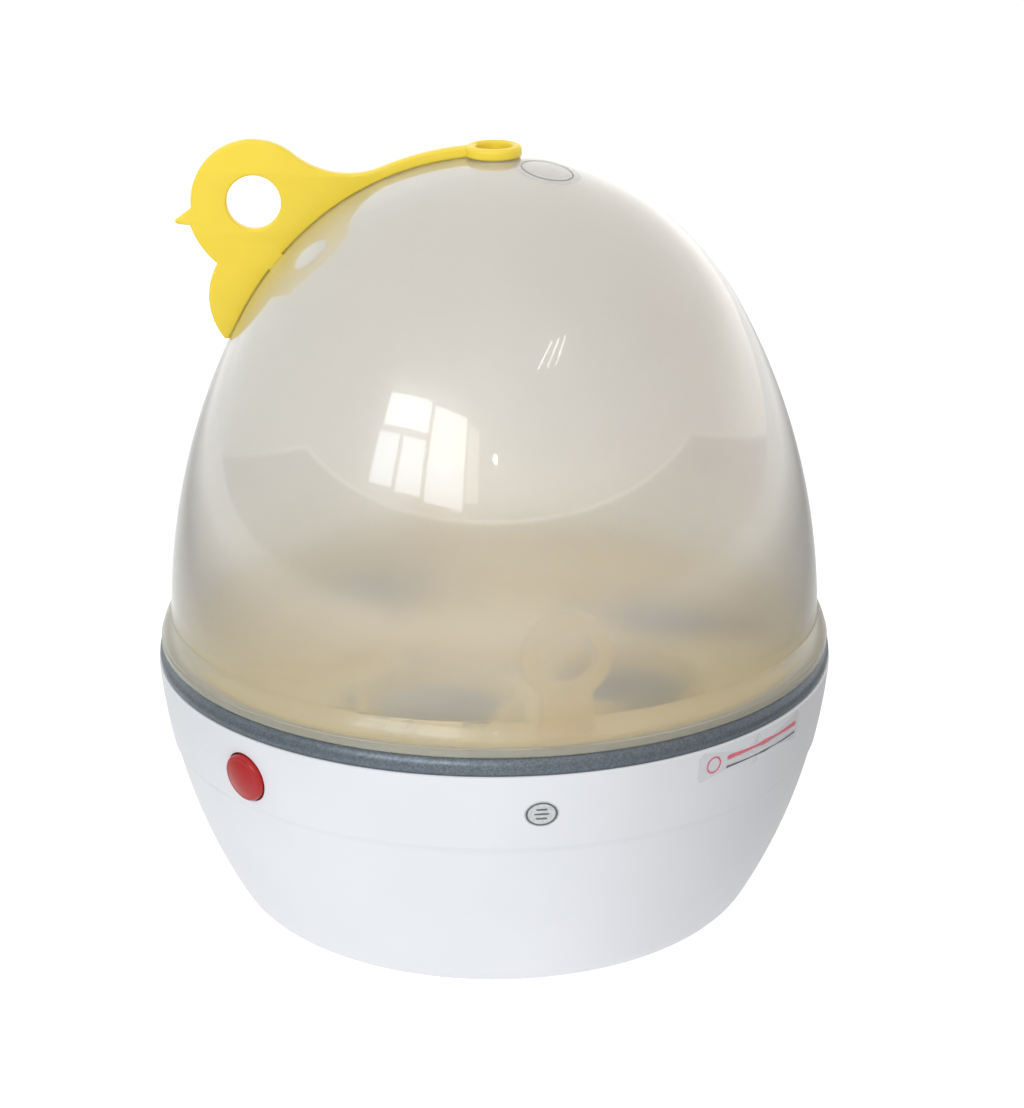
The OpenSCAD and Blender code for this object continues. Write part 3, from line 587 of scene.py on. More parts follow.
def make_body():
    """White bowl, with its step, the ledge for the pan and the recess for the cover."""
    inner_corner = CORNER_R - WALL
    inner_side = SIDE_R + BAND - WALL
    cover_top = FLOOR + WALL
    outside = arc(CORNER_C, CORNER_R, -90, -SIDE_START, 18)
    outside += arc(SIDE_C, SIDE_R, -SIDE_START, side_angle(STEP_Z - 0.25, SIDE_R), 34)[1:]
    outside += arc(SIDE_C, SIDE_R + BAND, side_angle(STEP_Z + 0.25, SIDE_R + BAND),
                   side_angle(BODY_TOP - 0.3, SIDE_R + BAND), 20)
    top_r = bowl_radius(BODY_TOP)
    outside += [(top_r - 0.3, BODY_TOP), (top_r - WALL + 0.1, BODY_TOP)]
    inside = arc(SIDE_C, inner_side, side_angle(BODY_TOP - 0.4, inner_side),
                 side_angle(LEDGE[1], inner_side), 3)
    inside += [(LEDGE[2], LEDGE[1]), (LEDGE[2], LEDGE[0])]
    inside += arc(SIDE_C, inner_side, side_angle(LEDGE[0], inner_side), -SIDE_START, 24)
    inside += arc(CORNER_C, inner_corner, -SIDE_START, -84, 10)
    inside += [(RECESS_R + 2, cover_top + 2.2), (OPENING_R, cover_top + 2.2), (OPENING_R, cover_top),
               (RECESS_R, cover_top), (RECESS_R, FLOOR + 0.3), (RECESS_R + 0.3, FLOOR)]
    body = to_object("outer_body_shell", lathe(outside + inside))

    hole = BUTTON_R + BUTTON_GAP
    guide = [(hole, -5.5), (hole + 1, -5.5), (hole + 1, -1.2), (hole, -1.2)]
    pillar = [(0, -9), (2.6, -9), (2.6, -1.2), (0, -1.2)]
    gland_boss = [(0, 0), (8, 0), (8, 10), (0, 10)]
    cover_boss = [(0, cover_top), (3.6, cover_top), (3.6, cover_top + 13), (0, cover_top + 13)]
    trim_boss = [(0, LEDGE[0] - 2), (3.4, LEDGE[0] - 2), (3.4, LEDGE[0] + 1), (0, LEDGE[0] + 1)]
    to_back = shift(0, 60.5, INLET_Z) @ rotation(-90)
    pillars = [at_button() @ shift(side * PILLAR_X, 0, 0) for side in (-1, 1)]
    added = repeated(guide, [at_button()]) + repeated(gland_boss, [to_back]) + repeated(pillar, pillars)
    added += repeated(cover_boss, COVER_SCREWS) + repeated(trim_boss, TRIM_SCREWS)
    combine(body, added, "UNION")

    button_hole = [(0, -8), (hole, -8), (hole, -0.35)] + arc((hole + 0.45, -0.4), 0.45, 180, 90, 4)
    button_hole += [(hole + 1.2, 0.4), (hole + 1.2, 4), (0, 4)]
    gland_hole = [(0, -1), (6, -1), (6, 10), (8.15, 10), (8.15, 20), (0, 20)]
    screw_hole = [(0, -10), (PILOT_R, -10), (PILOT_R, -3), (0, -3)]
    cover_hole = [(0, cover_top - 1), (1.25, cover_top - 1), (1.25, cover_top + 12), (0, cover_top + 12)]
    trim_hole = [(0, LEDGE[0] - 3), (CLEAR_R, LEDGE[0] - 3), (CLEAR_R, LEDGE[1] + 1), (0, LEDGE[1] + 1)]
    removed = repeated(button_hole, [at_button()], 128) + repeated(gland_hole, [to_back])
    removed += repeated(screw_hole, pillars, 24) + repeated(cover_hole, COVER_SCREWS, 24)
    removed += repeated(trim_hole, TRIM_SCREWS, 24)
    combine(body, removed, "DIFFERENCE")
    return finish_piece(body, WHITE, "base", ["outer_body"])


def make_cover():
    """Flat cover under the bowl, with vents, screw recesses and the two clamp pillars."""
    top = FLOOR + WALL
    disc = fillet([(0, FLOOR, 0), (49.6, FLOOR, 0.4), (49.6, top, 0.3), (0, top, 0)], 3)
    cover = to_object("bottom_cover_plate", lathe(disc, 192))
    pillar = [(0, top - 1), (3.4, top - 1), (3.4, top + 6.6), (0, top + 6.6)]
    combine(cover, repeated(pillar, CLAMP_PILLARS), "UNION")
    sink = [(0, FLOOR - 1), (3.2, FLOOR - 1), (3.2, FLOOR + 1.6), (CLEAR_R, FLOOR + 1.6), (CLEAR_R, top + 1),
            (0, top + 1)]
    foot = [(0, FLOOR - 1), (6.1, FLOOR - 1), (6.1, FLOOR + 1), (0, FLOOR + 1)]
    bite = [(0, top + 0.6), (PILOT_R, top + 0.6), (PILOT_R, top + 9), (0, top + 9)]
    slot = box_solid((2.4, 16, 8), (0, -12, FLOOR))
    removed = repeated(sink, COVER_SCREWS, 32) + repeated(foot, FEET) + repeated(bite, CLAMP_PILLARS, 24)
    removed += [(slot.copy(), shift(5 * i, 0, 0)) for i in range(-3, 4)]
    slot.free()
    combine(cover, removed, "DIFFERENCE")
    return finish_piece(cover, WHITE, "base", ["bottom_cover"])


def make_feet():
    """Four round rubber feet with a shallow hollow underneath."""
    top = FLOOR + 1
    profile = [(0, 0.5), (3.4, 0.5), (3.9, 0)] + arc((5.1, 0.9), 0.9, -90, 0, 5) + [(6, top), (0, top)]
    feet = to_object("rubber_feet_round", joined(repeated(profile, FEET)))
    return finish_piece(feet, RUBBER, "base", ["rubber_feet"])


def make_trim():
    """Metallic trim ring: a rounded band outside, a bead that locates the lid, and a web inside."""
    start = -math.degrees(math.asin((CROWN_C[1] - BODY_TOP) / CROWN_R))
    end = math.degrees(math.asin((RIM - CROWN_C[1]) / CROWN_R))
    band = [(78.9, BODY_TOP)] + arc(CROWN_C, CROWN_R, start, end, 24)
    bead = fillet([(78.3, RIM, 0), (78.0, RIM + 1.3, 0.35), (77.3, RIM + 1.3, 0.35), (77, TRAY_Z, 0)], 4)
    web = [(72.5, TRAY_Z), (72.2, TRAY_Z - 0.3), (72.2, WEB_Z), (78.6, WEB_Z), (78.6, BODY_TOP - 0.02)]
    trim = to_object("trim_ring_band", lathe(band + bead + web))
    hole = [(0, WEB_Z - 1), (1.1, WEB_Z - 1), (1.1, WEB_Z + 2.1), (0, WEB_Z + 2.1)]
    combine(trim, repeated(hole, TRIM_SCREWS, 24), "DIFFERENCE")
    return finish_piece(trim, GRAPHITE, "base", ["trim_ring"])


def make_pan():
    """Spun steel dish for the water, with rounded bends."""
    flange_top = WEB_Z
    floor_top = low("water_pan").z + 0.8
    inside = [(77, flange_top, 0), (72.5, flange_top, 1.5), (60, 62.4, 2.5), (57.4, 60.6, 2), (54, 48, 2),
              (51, floor_top, 1.5)]
    under = [(51.3, floor_top - 0.8, 2.2), (54.7, 47.6, 2.6), (58.1, 60.1, 1.4), (60.2, 61.6, 2),
             (72.6, flange_top - 0.8, 1.2), (77, flange_top - 0.8, 0)]
    outline = fillet(inside + [(0, floor_top, 0), (0, floor_top - 0.8, 0)] + under, 6)
    pan = to_object("water_pan_spun", lathe(outline))
    hole = [(0, flange_top - 3), (CLEAR_R, flange_top - 3), (CLEAR_R, flange_top + 1), (0, flange_top + 1)]
    combine(pan, repeated(hole, TRIM_SCREWS, 24), "DIFFERENCE")
    return finish_piece(pan, STEEL, "base", ["water_pan"])


def make_gland():
    """Rubber gland for the cord, with two rounded flanges and a smooth bore."""
    profile = fillet([(3.25, 58.5, 0.5), (7.5, 58.5, 0.6), (7.5, 60.5, 0.5), (5.95, 60.5, 0.2),
                      (5.95, 70.5, 0.2), (8, 70.5, 0.4), (8, 72.9, 0.9), (5.95, 72.9, 0.3), (5.95, 73.5, 0.3),
                      (3.25, 73.5, 0.4)], 4)
    bm = lathe(profile, SMALL_SEGMENTS)
    bm.transform(shift(0, 0, INLET_Z) @ rotation(-90))
    return finish_piece(to_object("cord_gland_moulded", bm), RUBBER, "base", ["cord_gland"])


# ---------------------------------------------------------------- button
def make_button():
    """Red cap with a domed face, a rounded edge, a hollow skirt and the stem behind it."""
    proud, sphere = 1.9, 17
    edge_turn = math.degrees(math.asin((BUTTON_R - 0.9) / sphere))
    face = arc((0, proud - sphere), sphere, 90, 90 - edge_turn, 10)
    edge_z = face[-1][1]
    edge = arc((BUTTON_R - 0.75, edge_z - 0.72), 0.75, 78, 0, 6)
    skirt = [(BUTTON_R, -5), (BUTTON_R - 1.3, -5), (BUTTON_R - 1.3, -1.5)]
    stem = [(2, -1.5), (2, -11.7), (1.7, -12), (0, -12)]
    bm = lathe(face + edge + skirt + stem, 128)
    bm.transform(at_button())
    return finish_piece(to_object("power_button_cap", bm), RED, "button", ["power_button"])


def make_spring():
    """Return spring behind the cap."""
    coil_r, wire_r, coils, steps = 3.1, 0.35, 4, 32
    top = -1.7 - wire_r
    bottom = -9.7 + wire_r
    helix = [
        (coil_r * math.cos(2 * math.pi * i / steps), coil_r * math.sin(2 * math.pi * i / steps),
         bottom + (top - bottom) * i / (steps * coils))
        for i in range(steps * coils + 1)
    ]
    bm = tube(helix, wire_r, 12)
    bm.transform(at_button())
    return finish_piece(to_object("button_spring_coil", bm), ZINC, "button", ["button_spring"])


# ---------------------------------------------------------------- tray
def seat_places():
    """The central seat and the ring of seats round it."""
    ring = [at_turn(TRAY_TURN + 30 + 60 * i, SEAT_RING_R) for i in range(6)]
    return [Matrix.Identity(4)] + ring


def make_tray():
    """Egg tray: plate with a rim, seats with collars and beads, steam holes and two lifting lugs."""
    z = TRAY_Z
    top = z + 2.2
    disc = fillet([(0, z, 0), (76.4, z, 0.5), (76.4, top + 1.2, 0.6), (74.6, top + 1.2, 0.6),
                   (74.3, top, 0.8), (0, top, 0)], 4)
    tray = to_object("egg_tray_moulded", lathe(disc))
    collar = [(0, z - 3), (SEAT_R + 0.4, z - 3), (SEAT_R + 0.7, z - 2.7), (SEAT_R + 1.7, z + 1),
              (SEAT_R + 1.7, top)]
    collar += arc((SEAT_R + 1.05, top), 0.65, 0, 90, 5) + [(0, top + 0.65)]
    # Known fault: these joins leave bad edges and slivers, and the cut after them
    # leaves three of the seven seats closed. The CAD tray has all seven open.
    for place in seat_places():
        combine(tray, repeated(collar, [place], 96), "UNION")
    seat = [(0, z - 4), (SEAT_R - 1.2, z - 4), (SEAT_R - 1, z - 3), (SEAT_R, top - 0.2)]
    seat += arc((SEAT_R + 1.05, top - 0.2), 1.05, 180, 125, 4) + [(SEAT_R + 0.6, top + 2), (0, top + 2)]
    hole = [(0, z - 1), (3.5, z - 1), (3.5, top - 0.3), (3.9, top + 0.1), (3.9, top + 1), (0, top + 1)]
    steam_holes = [at_turn(TRAY_TURN + 60 * i, 26) for i in range(6)]
    combine(tray, repeated(seat, seat_places(), 128) + repeated(hole, steam_holes, 48), "DIFFERENCE")

    lug_r, hole_r, stem, centre = 10.5, 6.5, 11.7, RIM + 19.3 - top
    foot_turn = math.degrees(math.asin(stem / 2 / lug_r))
    ring = arc((0, centre), lug_r, -90 + foot_turn, 270 - foot_turn, 56)
    foot = [(-stem / 2, 1.6), (-stem / 2 - 1.4, -1), (stem / 2 + 1.4, -1), (stem / 2, 1.6)]
    finger = arc((0, centre), hole_r, 0, 354, 59)
    upright = shift(0, 0, top) @ rotation(90)
    lugs = [(plate([ring + foot, finger], LUG_T, 0.6), at_turn(TRAY_TURN + turn, LUG_PLACE_R) @ upright)
            for turn in (0, 180)]
    combine(tray, lugs, "UNION")
    return finish_piece(tray, TRAY_YELLOW, "tray", ["egg_tray"])


# ---------------------------------------------------------------- lid
def dome_outline(grow, start, top_r, steps=(40, 24, 40)):
    """The dome's outline moved out by grow, from the height start up to the radius top_r."""
    first = math.degrees(math.asin((start - DOME_C1[1]) / (DOME_R1 + grow)))
    last = math.degrees(math.acos(top_r / (DOME_R3 + grow)))
    outline = arc(DOME_C1, DOME_R1 + grow, first, JOIN_1, steps[0])
    outline += arc(DOME_C2, DOME_R2 + grow, JOIN_1, JOIN_2, steps[1])[1:]
    return outline + arc(DOME_C3, DOME_R3 + grow, JOIN_2, last, steps[2])[1:]


def dome_tongue(extra, depth=9):
    """Block for the snap tongue, or for its slot when extra is above 0, across the dome's shoulder."""
    shoulder = shift(-DOME_C2[0], 0, DOME_C2[1]) @ rotation(39.5, "Y") @ shift(-DOME_R2, 0, 0)
    return box_solid((depth, 3 + 2 * extra, 4.8 + 2 * extra)), shoulder


def make_dome():
    """Frosted dome: lip, flare, three blended arcs and a rounded vent, as one thick shell."""
    flare_top = FLARE_C[1] + FLARE_R * math.sin(math.radians(FLARE[1]))
    lip = [(LIP_INNER_R, RIM + 0.3), (LIP_INNER_R + 0.3, RIM)]
    lip += arc((LIP_R - 1.1, RIM + 1.1), 1.1, -90, 0, 8)
    lip += arc((LIP_R - 0.35, RIM + LIP_H - 0.35), 0.35, 0, 80, 4)
    flare = arc(FLARE_C, FLARE_R, FLARE[0] + 0.6, FLARE[1], 14)
    outside = dome_outline(0, flare_top + 0.5, VENT_R + 0.5)
    edge_top = outside[-1][1]
    vent = arc((VENT_R + 0.5, edge_top - 0.5), 0.5, 90, 180, 4)[1:]
    inside = dome_outline(-DOME_WALL, flare_top + 0.5, VENT_R)[::-1]
    foot = [(LIP_INNER_R - 0.6, RIM + LIP_H + 1.4), (LIP_INNER_R, RIM + LIP_H - 0.3)]
    dome = to_object("dome_lid_shell", lathe(lip + flare + outside + vent + inside + foot, 320))
    combine(dome, [dome_tongue(0.2)], "DIFFERENCE")
    return finish_piece(dome, DOME, "lid", ["dome_lid"])


def make_handle():
    """Flat chick-shaped handle: plate with a finger hole, strip along the dome and ring round the vent."""
    thickness, edge, strip_t = 3, 0.55, 2.7
    head, head_r, nape_r = Vector((56, RIM + 106.8)), 14.7, 20
    crown = Vector(DOME_C3)
    strip_r = DOME_R3 + strip_t
    reach = head - crown
    near, far = strip_r + nape_r, head_r + nape_r
    swing = math.acos((near ** 2 + reach.length ** 2 - far ** 2) / (2 * near * reach.length))
    nape_turn = math.degrees(math.atan2(reach.y, reach.x) + swing)
    turn = math.radians(nape_turn)
    nape = crown + near * Vector((math.cos(turn), math.sin(turn)))
    to_head = math.degrees(math.atan2(head.y - nape.y, head.x - nape.x))
    strip_end = 90 - math.degrees(math.asin(4 / strip_r))
    beak = [(73.9, RIM + 102.9), (74.5, RIM + 102.5), (74.3, RIM + 101.9), (73.2, RIM + 101.6)]
    outline = arc(crown, strip_r, strip_end, nape_turn, 40)
    outline += arc(nape, nape_r, nape_turn - 180, to_head, 30)[1:]
    outline += arc(head, head_r, to_head + 180, -5.5, 60)[1:] + beak
    outline += arc((52, RIM + 107.4), 19.9, -17.5, -50, 18)
    outline += arc((50.9, RIM + 84), 16.2, 29, -38, 30)[1:]
    tail_z = outline[-1][1]
    outline += [point for point in dome_outline(0.05, RIM + 60, 4, (30, 30, 40)) if point[1] > tail_z - 0.5]
    ring_hole = arc(head, 6.4, 0, 354, 59)
    bm = plate([[(-x, y) for x, y in outline], [(-x, y) for x, y in ring_hole]], thickness, edge)
    bm.transform(rotation(90))
    handle = to_object("chick_handle_plate", bm)
    low_z, high_z = RIM + 117.6, RIM + 120.2
    ring = fillet([(4.4, low_z, 0.3), (6.6, low_z, 0.5), (6.6, high_z, 1.0), (4.4, high_z, 0.8)], 5)
    combine(handle, repeated(ring, [Matrix.Identity(4)], 96), "UNION")
    combine(handle, [dome_tongue(0, 8)], "UNION")
    return finish_piece(handle, YELLOW, "lid", ["chick_handle"])


# ---------------------------------------------------------------- labels
def on_bowl(turn, z):
    """Maps (across, up, lift) in mm to a place on the bowl."""
    def place(across, up, lift):
        height = z + up
        radius = bowl_radius(height)
        a = math.radians(turn) + across / radius
        return Vector(((radius + lift) * math.sin(a), -(radius + lift) * math.cos(a), height)) * MM
    return place


def on_crown(turn, radius):
    """Maps (across, up, lift) in mm to a place on the dome's crown."""
    tip = math.asin(radius / DOME_R3)
    frame_there = at_turn(turn).to_3x3() @ Matrix.Rotation(tip, 3, "X")

    def place(across, up, lift):
        out = frame_there @ Vector((across, up, DOME_R3)).normalized()
        return (Vector((0, 0, DOME_C3[1])) + out * (DOME_R3 + lift)) * MM
    return place


def sheet_on(place, outline, lift, thickness, rings=7, inner=0.0):
    """Thin closed sheet over a surface, filling an outline round its middle or a band of it."""
    bm = bmesh.new()
    levels = []
    for height in (lift, lift + thickness):
        level = []
        for k in range(rings + 1):
            scale = inner + (1 - inner) * k / rings
            points = outline if scale > 0 else outline[:1]
            level.append([bm.verts.new(place(x * scale, y * scale, height)) for x, y in points])
        levels.append(level)
    count = len(outline)

    def skin(a, b):
        for i in range(count):
            j = (i + 1) % count
            corners = list(dict.fromkeys([a[i % len(a)], a[j % len(a)], b[j % len(b)], b[i % len(b)]]))
            bm.faces.new(corners)

    for level in levels:
        for a, b in zip(level, level[1:]):
            skin(a, b)
    skin(levels[0][-1], levels[1][-1])
    if inner > 0:
        skin(levels[0][0], levels[1][0])
    bmesh.ops.recalc_face_normals(bm, faces=bm.faces)
    return bm


def oval(width, height, steps=48):
    """Outline of an ellipse."""
    turns = [2 * math.pi * i / steps for i in range(steps)]
    return [(width / 2 * math.cos(t), height / 2 * math.sin(t)) for t in turns]


def bar(width, height, corner=0.4):
    """Outline of a bar with rounded corners."""
    w, h = width / 2, height / 2
    corners = [(-w, -h, corner), (0, -h, 0), (w, -h, corner), (w, 0, 0), (w, h, corner), (0, h, 0),
               (-w, h, corner), (-w, 0, 0)]
    return fillet(corners, 4)


def shifted(place, across, up):
    """The same mapping moved over the surface, in mm."""
    return lambda x, y, lift: place(x + across, y + up, lift)


def label(name, sheet, material, body="base"):
    return finish_piece(to_object(name, sheet), material, body)


def make_labels():
    """Plain stand-ins for the printed marks: an oval badge, a clear strip with bars and a clear disc."""
    badge = on_bowl(7.4, 55)
    ring = sheet_on(badge, oval(7.3, 6.0), INK_LIFT, INK_T, 2, 0.86)
    label("badge_fill", sheet_on(badge, oval(7.9, 6.6), FILM_LIFT, FILM_T), INK_PALE)
    label("badge_ring", ring, INK_DARK)
    for i in (-1, 0, 1):
        mark = sheet_on(shifted(badge, 0, 1.15 * i), bar(3.4 - 0.9 * abs(i), 0.45, 0.2), INK_LIFT, INK_T, 2)
        label(f"badge_mark_{i + 2}", mark, INK_DARK)

    strip = on_bowl(47.5, 60)
    red_bar = sheet_on(shifted(strip, 3.4, 0.7), bar(27, 1.1, 0.3), INK_LIFT, INK_T, 6)
    dark_bar = sheet_on(shifted(strip, 3.4, -1.7), bar(27, 0.5, 0.2), INK_LIFT, INK_T, 6)
    dot = sheet_on(shifted(strip, -14.2, 0), oval(4.2, 4.2), INK_LIFT, INK_T, 3, 0.82)
    label("strip_film", sheet_on(strip, bar(37.5, 7.2, 1.4), FILM_LIFT, FILM_T, 9), FILM)
    label("strip_bar_red", red_bar, INK_RED)
    label("strip_line_dark", dark_bar, INK_DARK)
    label("strip_dot_red", dot, INK_RED)

    disc = on_crown(59, 14.5)
    line = sheet_on(disc, oval(12.5, 12.5), INK_LIFT, 0.02, 1, 0.96)
    label("disc_film", sheet_on(disc, oval(16, 16), FILM_LIFT, FILM_T), FILM, "lid")
    label("disc_line", line, INK_DARK, "lid")


# ---------------------------------------------------------------- wires
def make_wires():
    """Wires between the terminal block, the switch, the fuse, the thermostat and the heater."""
    way = Vector((9, 10, FLOOR + WALL + 5))
    fuse_z = low("thermal_fuse").z + 2
    tab_z = low("thermostat").z - 1.2
    switch_a, switch_b, pin_a = (-39.3, -45, 52.2), (-45, -39.3, 52.2), (-9.3, 34.8, 27)
    pin_b = (9.3, 34.8, 27)
    routes = {
        "supply_wire_brown": [(-way.x, way.y, way.z), (-12, 2, 12), (-30, -38, 30), switch_a],
        "supply_wire_blue": [way, (14, 3, 12), (20, 30, 20), pin_b],
        "heater_wire_switch": [switch_b, (-38, -32, 33), (-22, -26, 33), (-18, -22, fuse_z)],
        "heater_wire_fuse": [(18, -22, fuse_z), (17, -16, 30), (8, -3, 20), (4, 0, tab_z)],
        "heater_wire_pin": [(-4, 0, tab_z), (-9, 8, 19), (-12, 26, 20), pin_a],
    }
    colours = {"supply_wire_brown": WIRE_BROWN, "supply_wire_blue": WIRE_BLUE}
    for name, points in routes.items():
        piece = to_object(name, tube(smooth_route(points), 1))
        if name in colours:
            finish_piece(piece, colours[name], "base", ["supply_wires"])
        else:
            finish_piece(piece, WIRE_WHITE, "base", ["heater_wires"])


# ---------------------------------------------------------------- CAD nodes that stay
KEPT = {
    "cover_screws": ZINC, "trim_screws": ZINC, "pan_seal": SILICONE, "heat_spreader": ALUMINIUM,
    "heating_element": SHEATH, "element_clips": ZINC, "thermostat": CERAMIC, "thermostat_bracket": ZINC,
    "bracket_screws": ZINC, "thermal_fuse": CERAMIC, "fuse_sleeve": SLEEVE, "push_switch": BLACK,
    "switch_screws": ZINC, "terminal_block": NATURAL, "terminal_screws": BRASS, "cord_clamp": NATURAL,
    "clamp_screws": ZINC,
}


def dress_kept_nodes():
    """Gives the CAD nodes that no piece replaces their better materials."""
    for name, material in KEPT.items():
        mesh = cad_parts[name].data
        mesh.materials.clear()
        mesh.materials.append(material)


# ---------------------------------------------------------------- studio
CAMERA_AT = (0, -0.70025, 0.3371)
CAMERA_AIM = (0.0043, 0, 0.0878)
DOME_MIRROR = Vector((-0.01, -0.07, 0.135))      # where the dome mirrors the window


def make_camera():
    camera = bpy.data.cameras.new("camera")
    camera.lens = 99.3
    camera.sensor_width = 36
    camera.clip_start = 0.01
    view = bpy.data.objects.new("camera", camera)
    view.location = CAMERA_AT
    view.rotation_euler = (Vector(CAMERA_AIM) - Vector(CAMERA_AT)).to_track_quat("-Z", "Y").to_euler()
    bpy.context.scene.collection.objects.link(view)
    bpy.context.scene.camera = view


def grey(level):
    return (level, level, level, 1)


def make_floor():
    """Large pale table, white to the camera, that throws soft light up in a shaped pattern."""
    half, steps = 4.0, 24
    bm = bmesh.new()
    bmesh.ops.create_grid(bm, x_segments=steps, y_segments=steps, size=half)
    floor = to_object("studio_floor", bm)
    material, tree, shader, place = start_material("studio_floor")
    tone = mix_colour(tree, noise(tree, place, 3, 2), grey(0.19), grey(0.21))
    across = node(tree, "ShaderNodeSeparateXYZ", {"Vector": place}).outputs[0]
    aside = math_node(tree, "ABSOLUTE", math_node(tree, "ADD", across, 0.05))
    away = node(tree, "ShaderNodeVectorMath", {0: place}, operation="LENGTH").outputs["Value"]
    strip = remap(tree, aside, 0.06, 0.3, 0.8, 0.15)           # bright in front, dim at the sides
    glow = mix_value(tree, remap(tree, away, 0.5, 1.1, 0, 1), strip, 0.9)
    path = node(tree, "ShaderNodeLightPath").outputs
    through_dome = math_node(tree, "MULTIPLY", path["Is Transmission Ray"], 0.6)
    glow = math_node(tree, "MAXIMUM", glow, through_dome)
    tree.links.new(tone, shader.inputs["Base Color"])
    tree.links.new(mix_value(tree, path["Is Camera Ray"], glow, 1.0), shader.inputs["Emission Strength"])
    shader.inputs["Roughness"].default_value = 0.9
    shader.inputs["Specular IOR Level"].default_value = 0
    shader.inputs["Emission Color"].default_value = grey(1)
    floor.data.materials.append(material)


def make_flags():
    """Dark cards low on both sides that shade the bowl, unseen by the camera and in reflections."""
    length, height, middle_z = 0.34, 0.075, 42
    material, tree, shader, place = start_material("studio_flag")
    tone = mix_colour(tree, noise(tree, place, 800, 2), grey(0.02), grey(0.04))
    tree.links.new(tone, shader.inputs["Base Color"])
    shader.inputs["Roughness"].default_value = 1
    for name, turn, reach in (("flag_right", 78, 175), ("flag_left", -78, 235)):
        bm = bmesh.new()
        bmesh.ops.create_grid(bm, x_segments=2, y_segments=2, size=0.5)
        bm.transform(Matrix.Diagonal((length, height, 1, 1)))
        bm.transform(rotation(90))
        bm.transform(at_turn(turn, reach, middle_z))
        flag = to_object(name, bm)
        flag.data.materials.append(material)
        flag.visible_camera = False
        flag.visible_glossy = False
        flag.visible_transmission = False


def area_light(name, centre, aim, width, height, radiance, colour, roll=0):
    """Rectangular light that faces aim, turned by roll degrees, and isn't seen by the camera."""
    light = bpy.data.lights.new(name, "AREA")
    light.shape = "RECTANGLE"
    light.size = width
    light.size_y = height
    light.energy = radiance * math.pi * width * height
    light.color = colour
    carrier = bpy.data.objects.new(name, light)
    carrier.location = centre
    facing = (aim - centre).to_track_quat("-Z", "Y").to_matrix()
    carrier.rotation_euler = (facing @ Matrix.Rotation(math.radians(roll), 3, "Z")).to_euler()
    carrier.visible_camera = False
    bpy.context.scene.collection.objects.link(carrier)
    return carrier


def only_mirrored(light):
    """Keeps a small bright light out of everything but polished reflections."""
    light.visible_diffuse = False
    light.visible_transmission = False


CREAM = (1.0, 0.985, 0.93)
SKY = (0.8, 0.88, 1.0)
PANES = [                         # left, right, bottom, top as parts of the window, radiance and colour
    (0.02, 0.48, 0.64, 1.00, 5.6, CREAM),
    (0.00, 0.22, 0.06, 0.56, 4.6, SKY),
    (0.26, 0.48, 0.03, 0.56, 4.8, SKY),
    (0.52, 0.86, 0.42, 0.97, 4.8, CREAM),
    (0.52, 0.86, 0.00, 0.42, 4.4, SKY),
    (0.88, 1.00, 0.10, 0.90, 1.6, CREAM),
]


def make_window():
    """Window with its panes in front on the left, which the dome mirrors."""
    turn, distance = -28, 1.6
    half_w = distance * math.tan(math.radians(22))
    bottom, top = distance * math.tan(math.radians(17.6)), distance * math.tan(math.radians(35.5))
    out = at_turn(turn).to_3x3() @ Vector((0, -1, 0))
    across = at_turn(turn).to_3x3() @ Vector((1, 0, 0))
    for i, (left, right, start, end, radiance, colour) in enumerate(PANES):
        middle = DOME_MIRROR + out * distance + across * (half_w * (left + right - 1))
        middle += Vector((0, 0, bottom + (top - bottom) * (start + end) / 2))
        facing = middle - out      # panes stay parallel to the window's plane
        width, height = 2 * half_w * (right - left), (top - bottom) * (end - start)
        area_light(f"pane_{i}", middle, facing, width, height, radiance, colour)


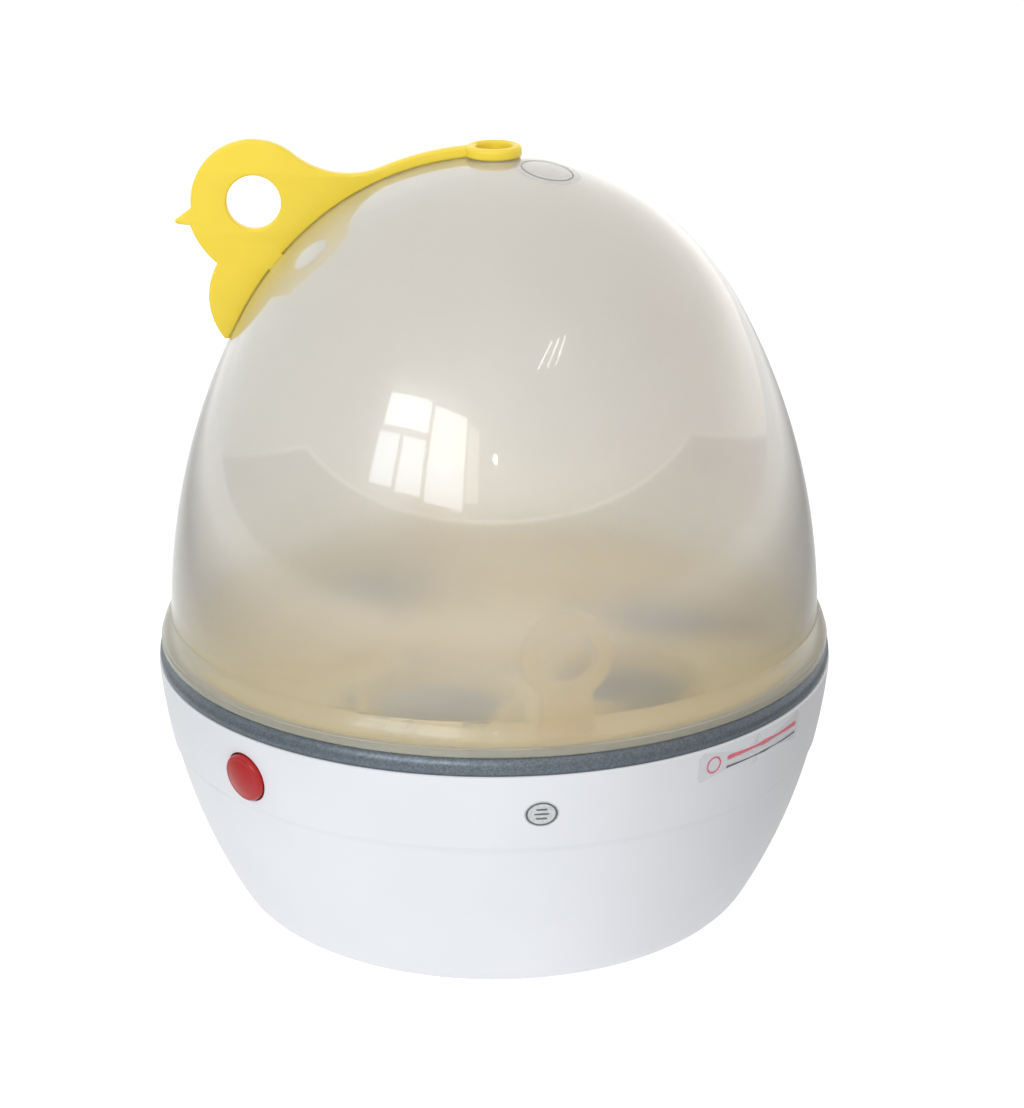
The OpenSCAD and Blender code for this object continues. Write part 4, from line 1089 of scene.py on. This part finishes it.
def make_world():
    """Room round the table: bright above a line that the dome mirrors, dimmer below it and at the sides."""
    world = bpy.data.worlds.new("room")
    world.use_nodes = True
    bpy.context.scene.world = world
    tree = world.node_tree
    tree.nodes.clear()

    def calc(operation, a, b=0.0):
        return math_node(tree, operation, a, b)

    def ramp(value, start, end, first, last):
        return remap(tree, value, start, end, first, last)

    direction = node(tree, "ShaderNodeTexCoord").outputs["Generated"]
    x, y, z = node(tree, "ShaderNodeSeparateXYZ", {0: direction}).outputs
    front = 0.27                   # height of the line in front
    turn_back = calc("SUBTRACT", calc("MULTIPLY", calc("MAXIMUM", x, 0.0), 0.1), 0.17)
    back = calc("MAXIMUM", calc("SUBTRACT", y, turn_back), 0.0)
    line = calc("SUBTRACT", front, calc("MULTIPLY", back, 0.4))
    from_line = calc("SUBTRACT", z, line)
    level = mix_value(tree, ramp(from_line, -0.004, 0.004, 0, 1), ramp(z, -0.05, front, 0.95, 0.42),
                      ramp(z, front, 1.0, 1.5, 0.7))
    rim = ramp(calc("ABSOLUTE", from_line), 0.004, 0.01, 1.6, 0)
    level = calc("ADD", level, calc("MULTIPLY", rim, ramp(y, -0.2, 0.3, 1, 0.1)))

    dim = calc("MAXIMUM", ramp(z, 0.08, 0.25, 0.9, 0.56), ramp(y, 0.05, 0.5, 0, 0.42))
    right = ramp(x, 0, 0.85, 1.0, dim)
    left = ramp(x, -0.9, 0, 0.6, 1.0)
    rear = ramp(y, 0.05, 0.7, 1.0, 1.05)
    strength = calc("MULTIPLY", level, calc("MULTIPLY", right, calc("MULTIPLY", left, rear)))
    hue = mix_colour(tree, ramp(x, -0.8, 0.8, 0, 1), (0.97, 1.0, 0.97, 1), (1.0, 0.965, 0.92, 1))
    room = node(tree, "ShaderNodeBackground", {"Color": hue, "Strength": strength})
    plain = node(tree, "ShaderNodeBackground", {"Color": grey(0.98), "Strength": 1.0})
    seen = node(tree, "ShaderNodeLightPath").outputs["Is Camera Ray"]
    mixed = node(tree, "ShaderNodeMixShader", {0: seen, 1: room.outputs[0], 2: plain.outputs[0]})
    node(tree, "ShaderNodeOutputWorld", {"Surface": mixed.outputs[0]})


def make_sparkles():
    """Small lamp and three thin lamps, each a spark on the dome."""
    white = (1, 1, 1)
    lamp = DOME_MIRROR + Vector((0.012, -0.89, 0.45)) * 1.7
    only_mirrored(area_light("small_lamp", lamp, DOME_MIRROR, 0.04, 0.04, 45, white))
    shoulder = Vector((0.014, -0.056, 0.154))
    distance, elevation, lean = 1.6, 47.5, -46
    for i in (-1, 0, 1):
        out = (at_turn(34.2 + 5 * i) @ rotation(-elevation)).to_3x3() @ Vector((0, -distance, 0))
        slit = area_light(f"slit_{i + 2}", shoulder + out, shoulder, 0.016, 0.34, 8, white, lean)
        only_mirrored(slit)


make_camera()
make_floor()
make_flags()
make_world()
make_window()
make_sparkles()
bpy.context.scene.view_settings.view_transform = "Standard"

make_body()
make_cover()
make_feet()
make_trim()
make_pan()
make_gland()
make_button()
make_spring()
make_tray()
make_dome()
make_handle()
make_labels()
make_wires()
dress_kept_nodes()

bpy.context.view_layer.update()
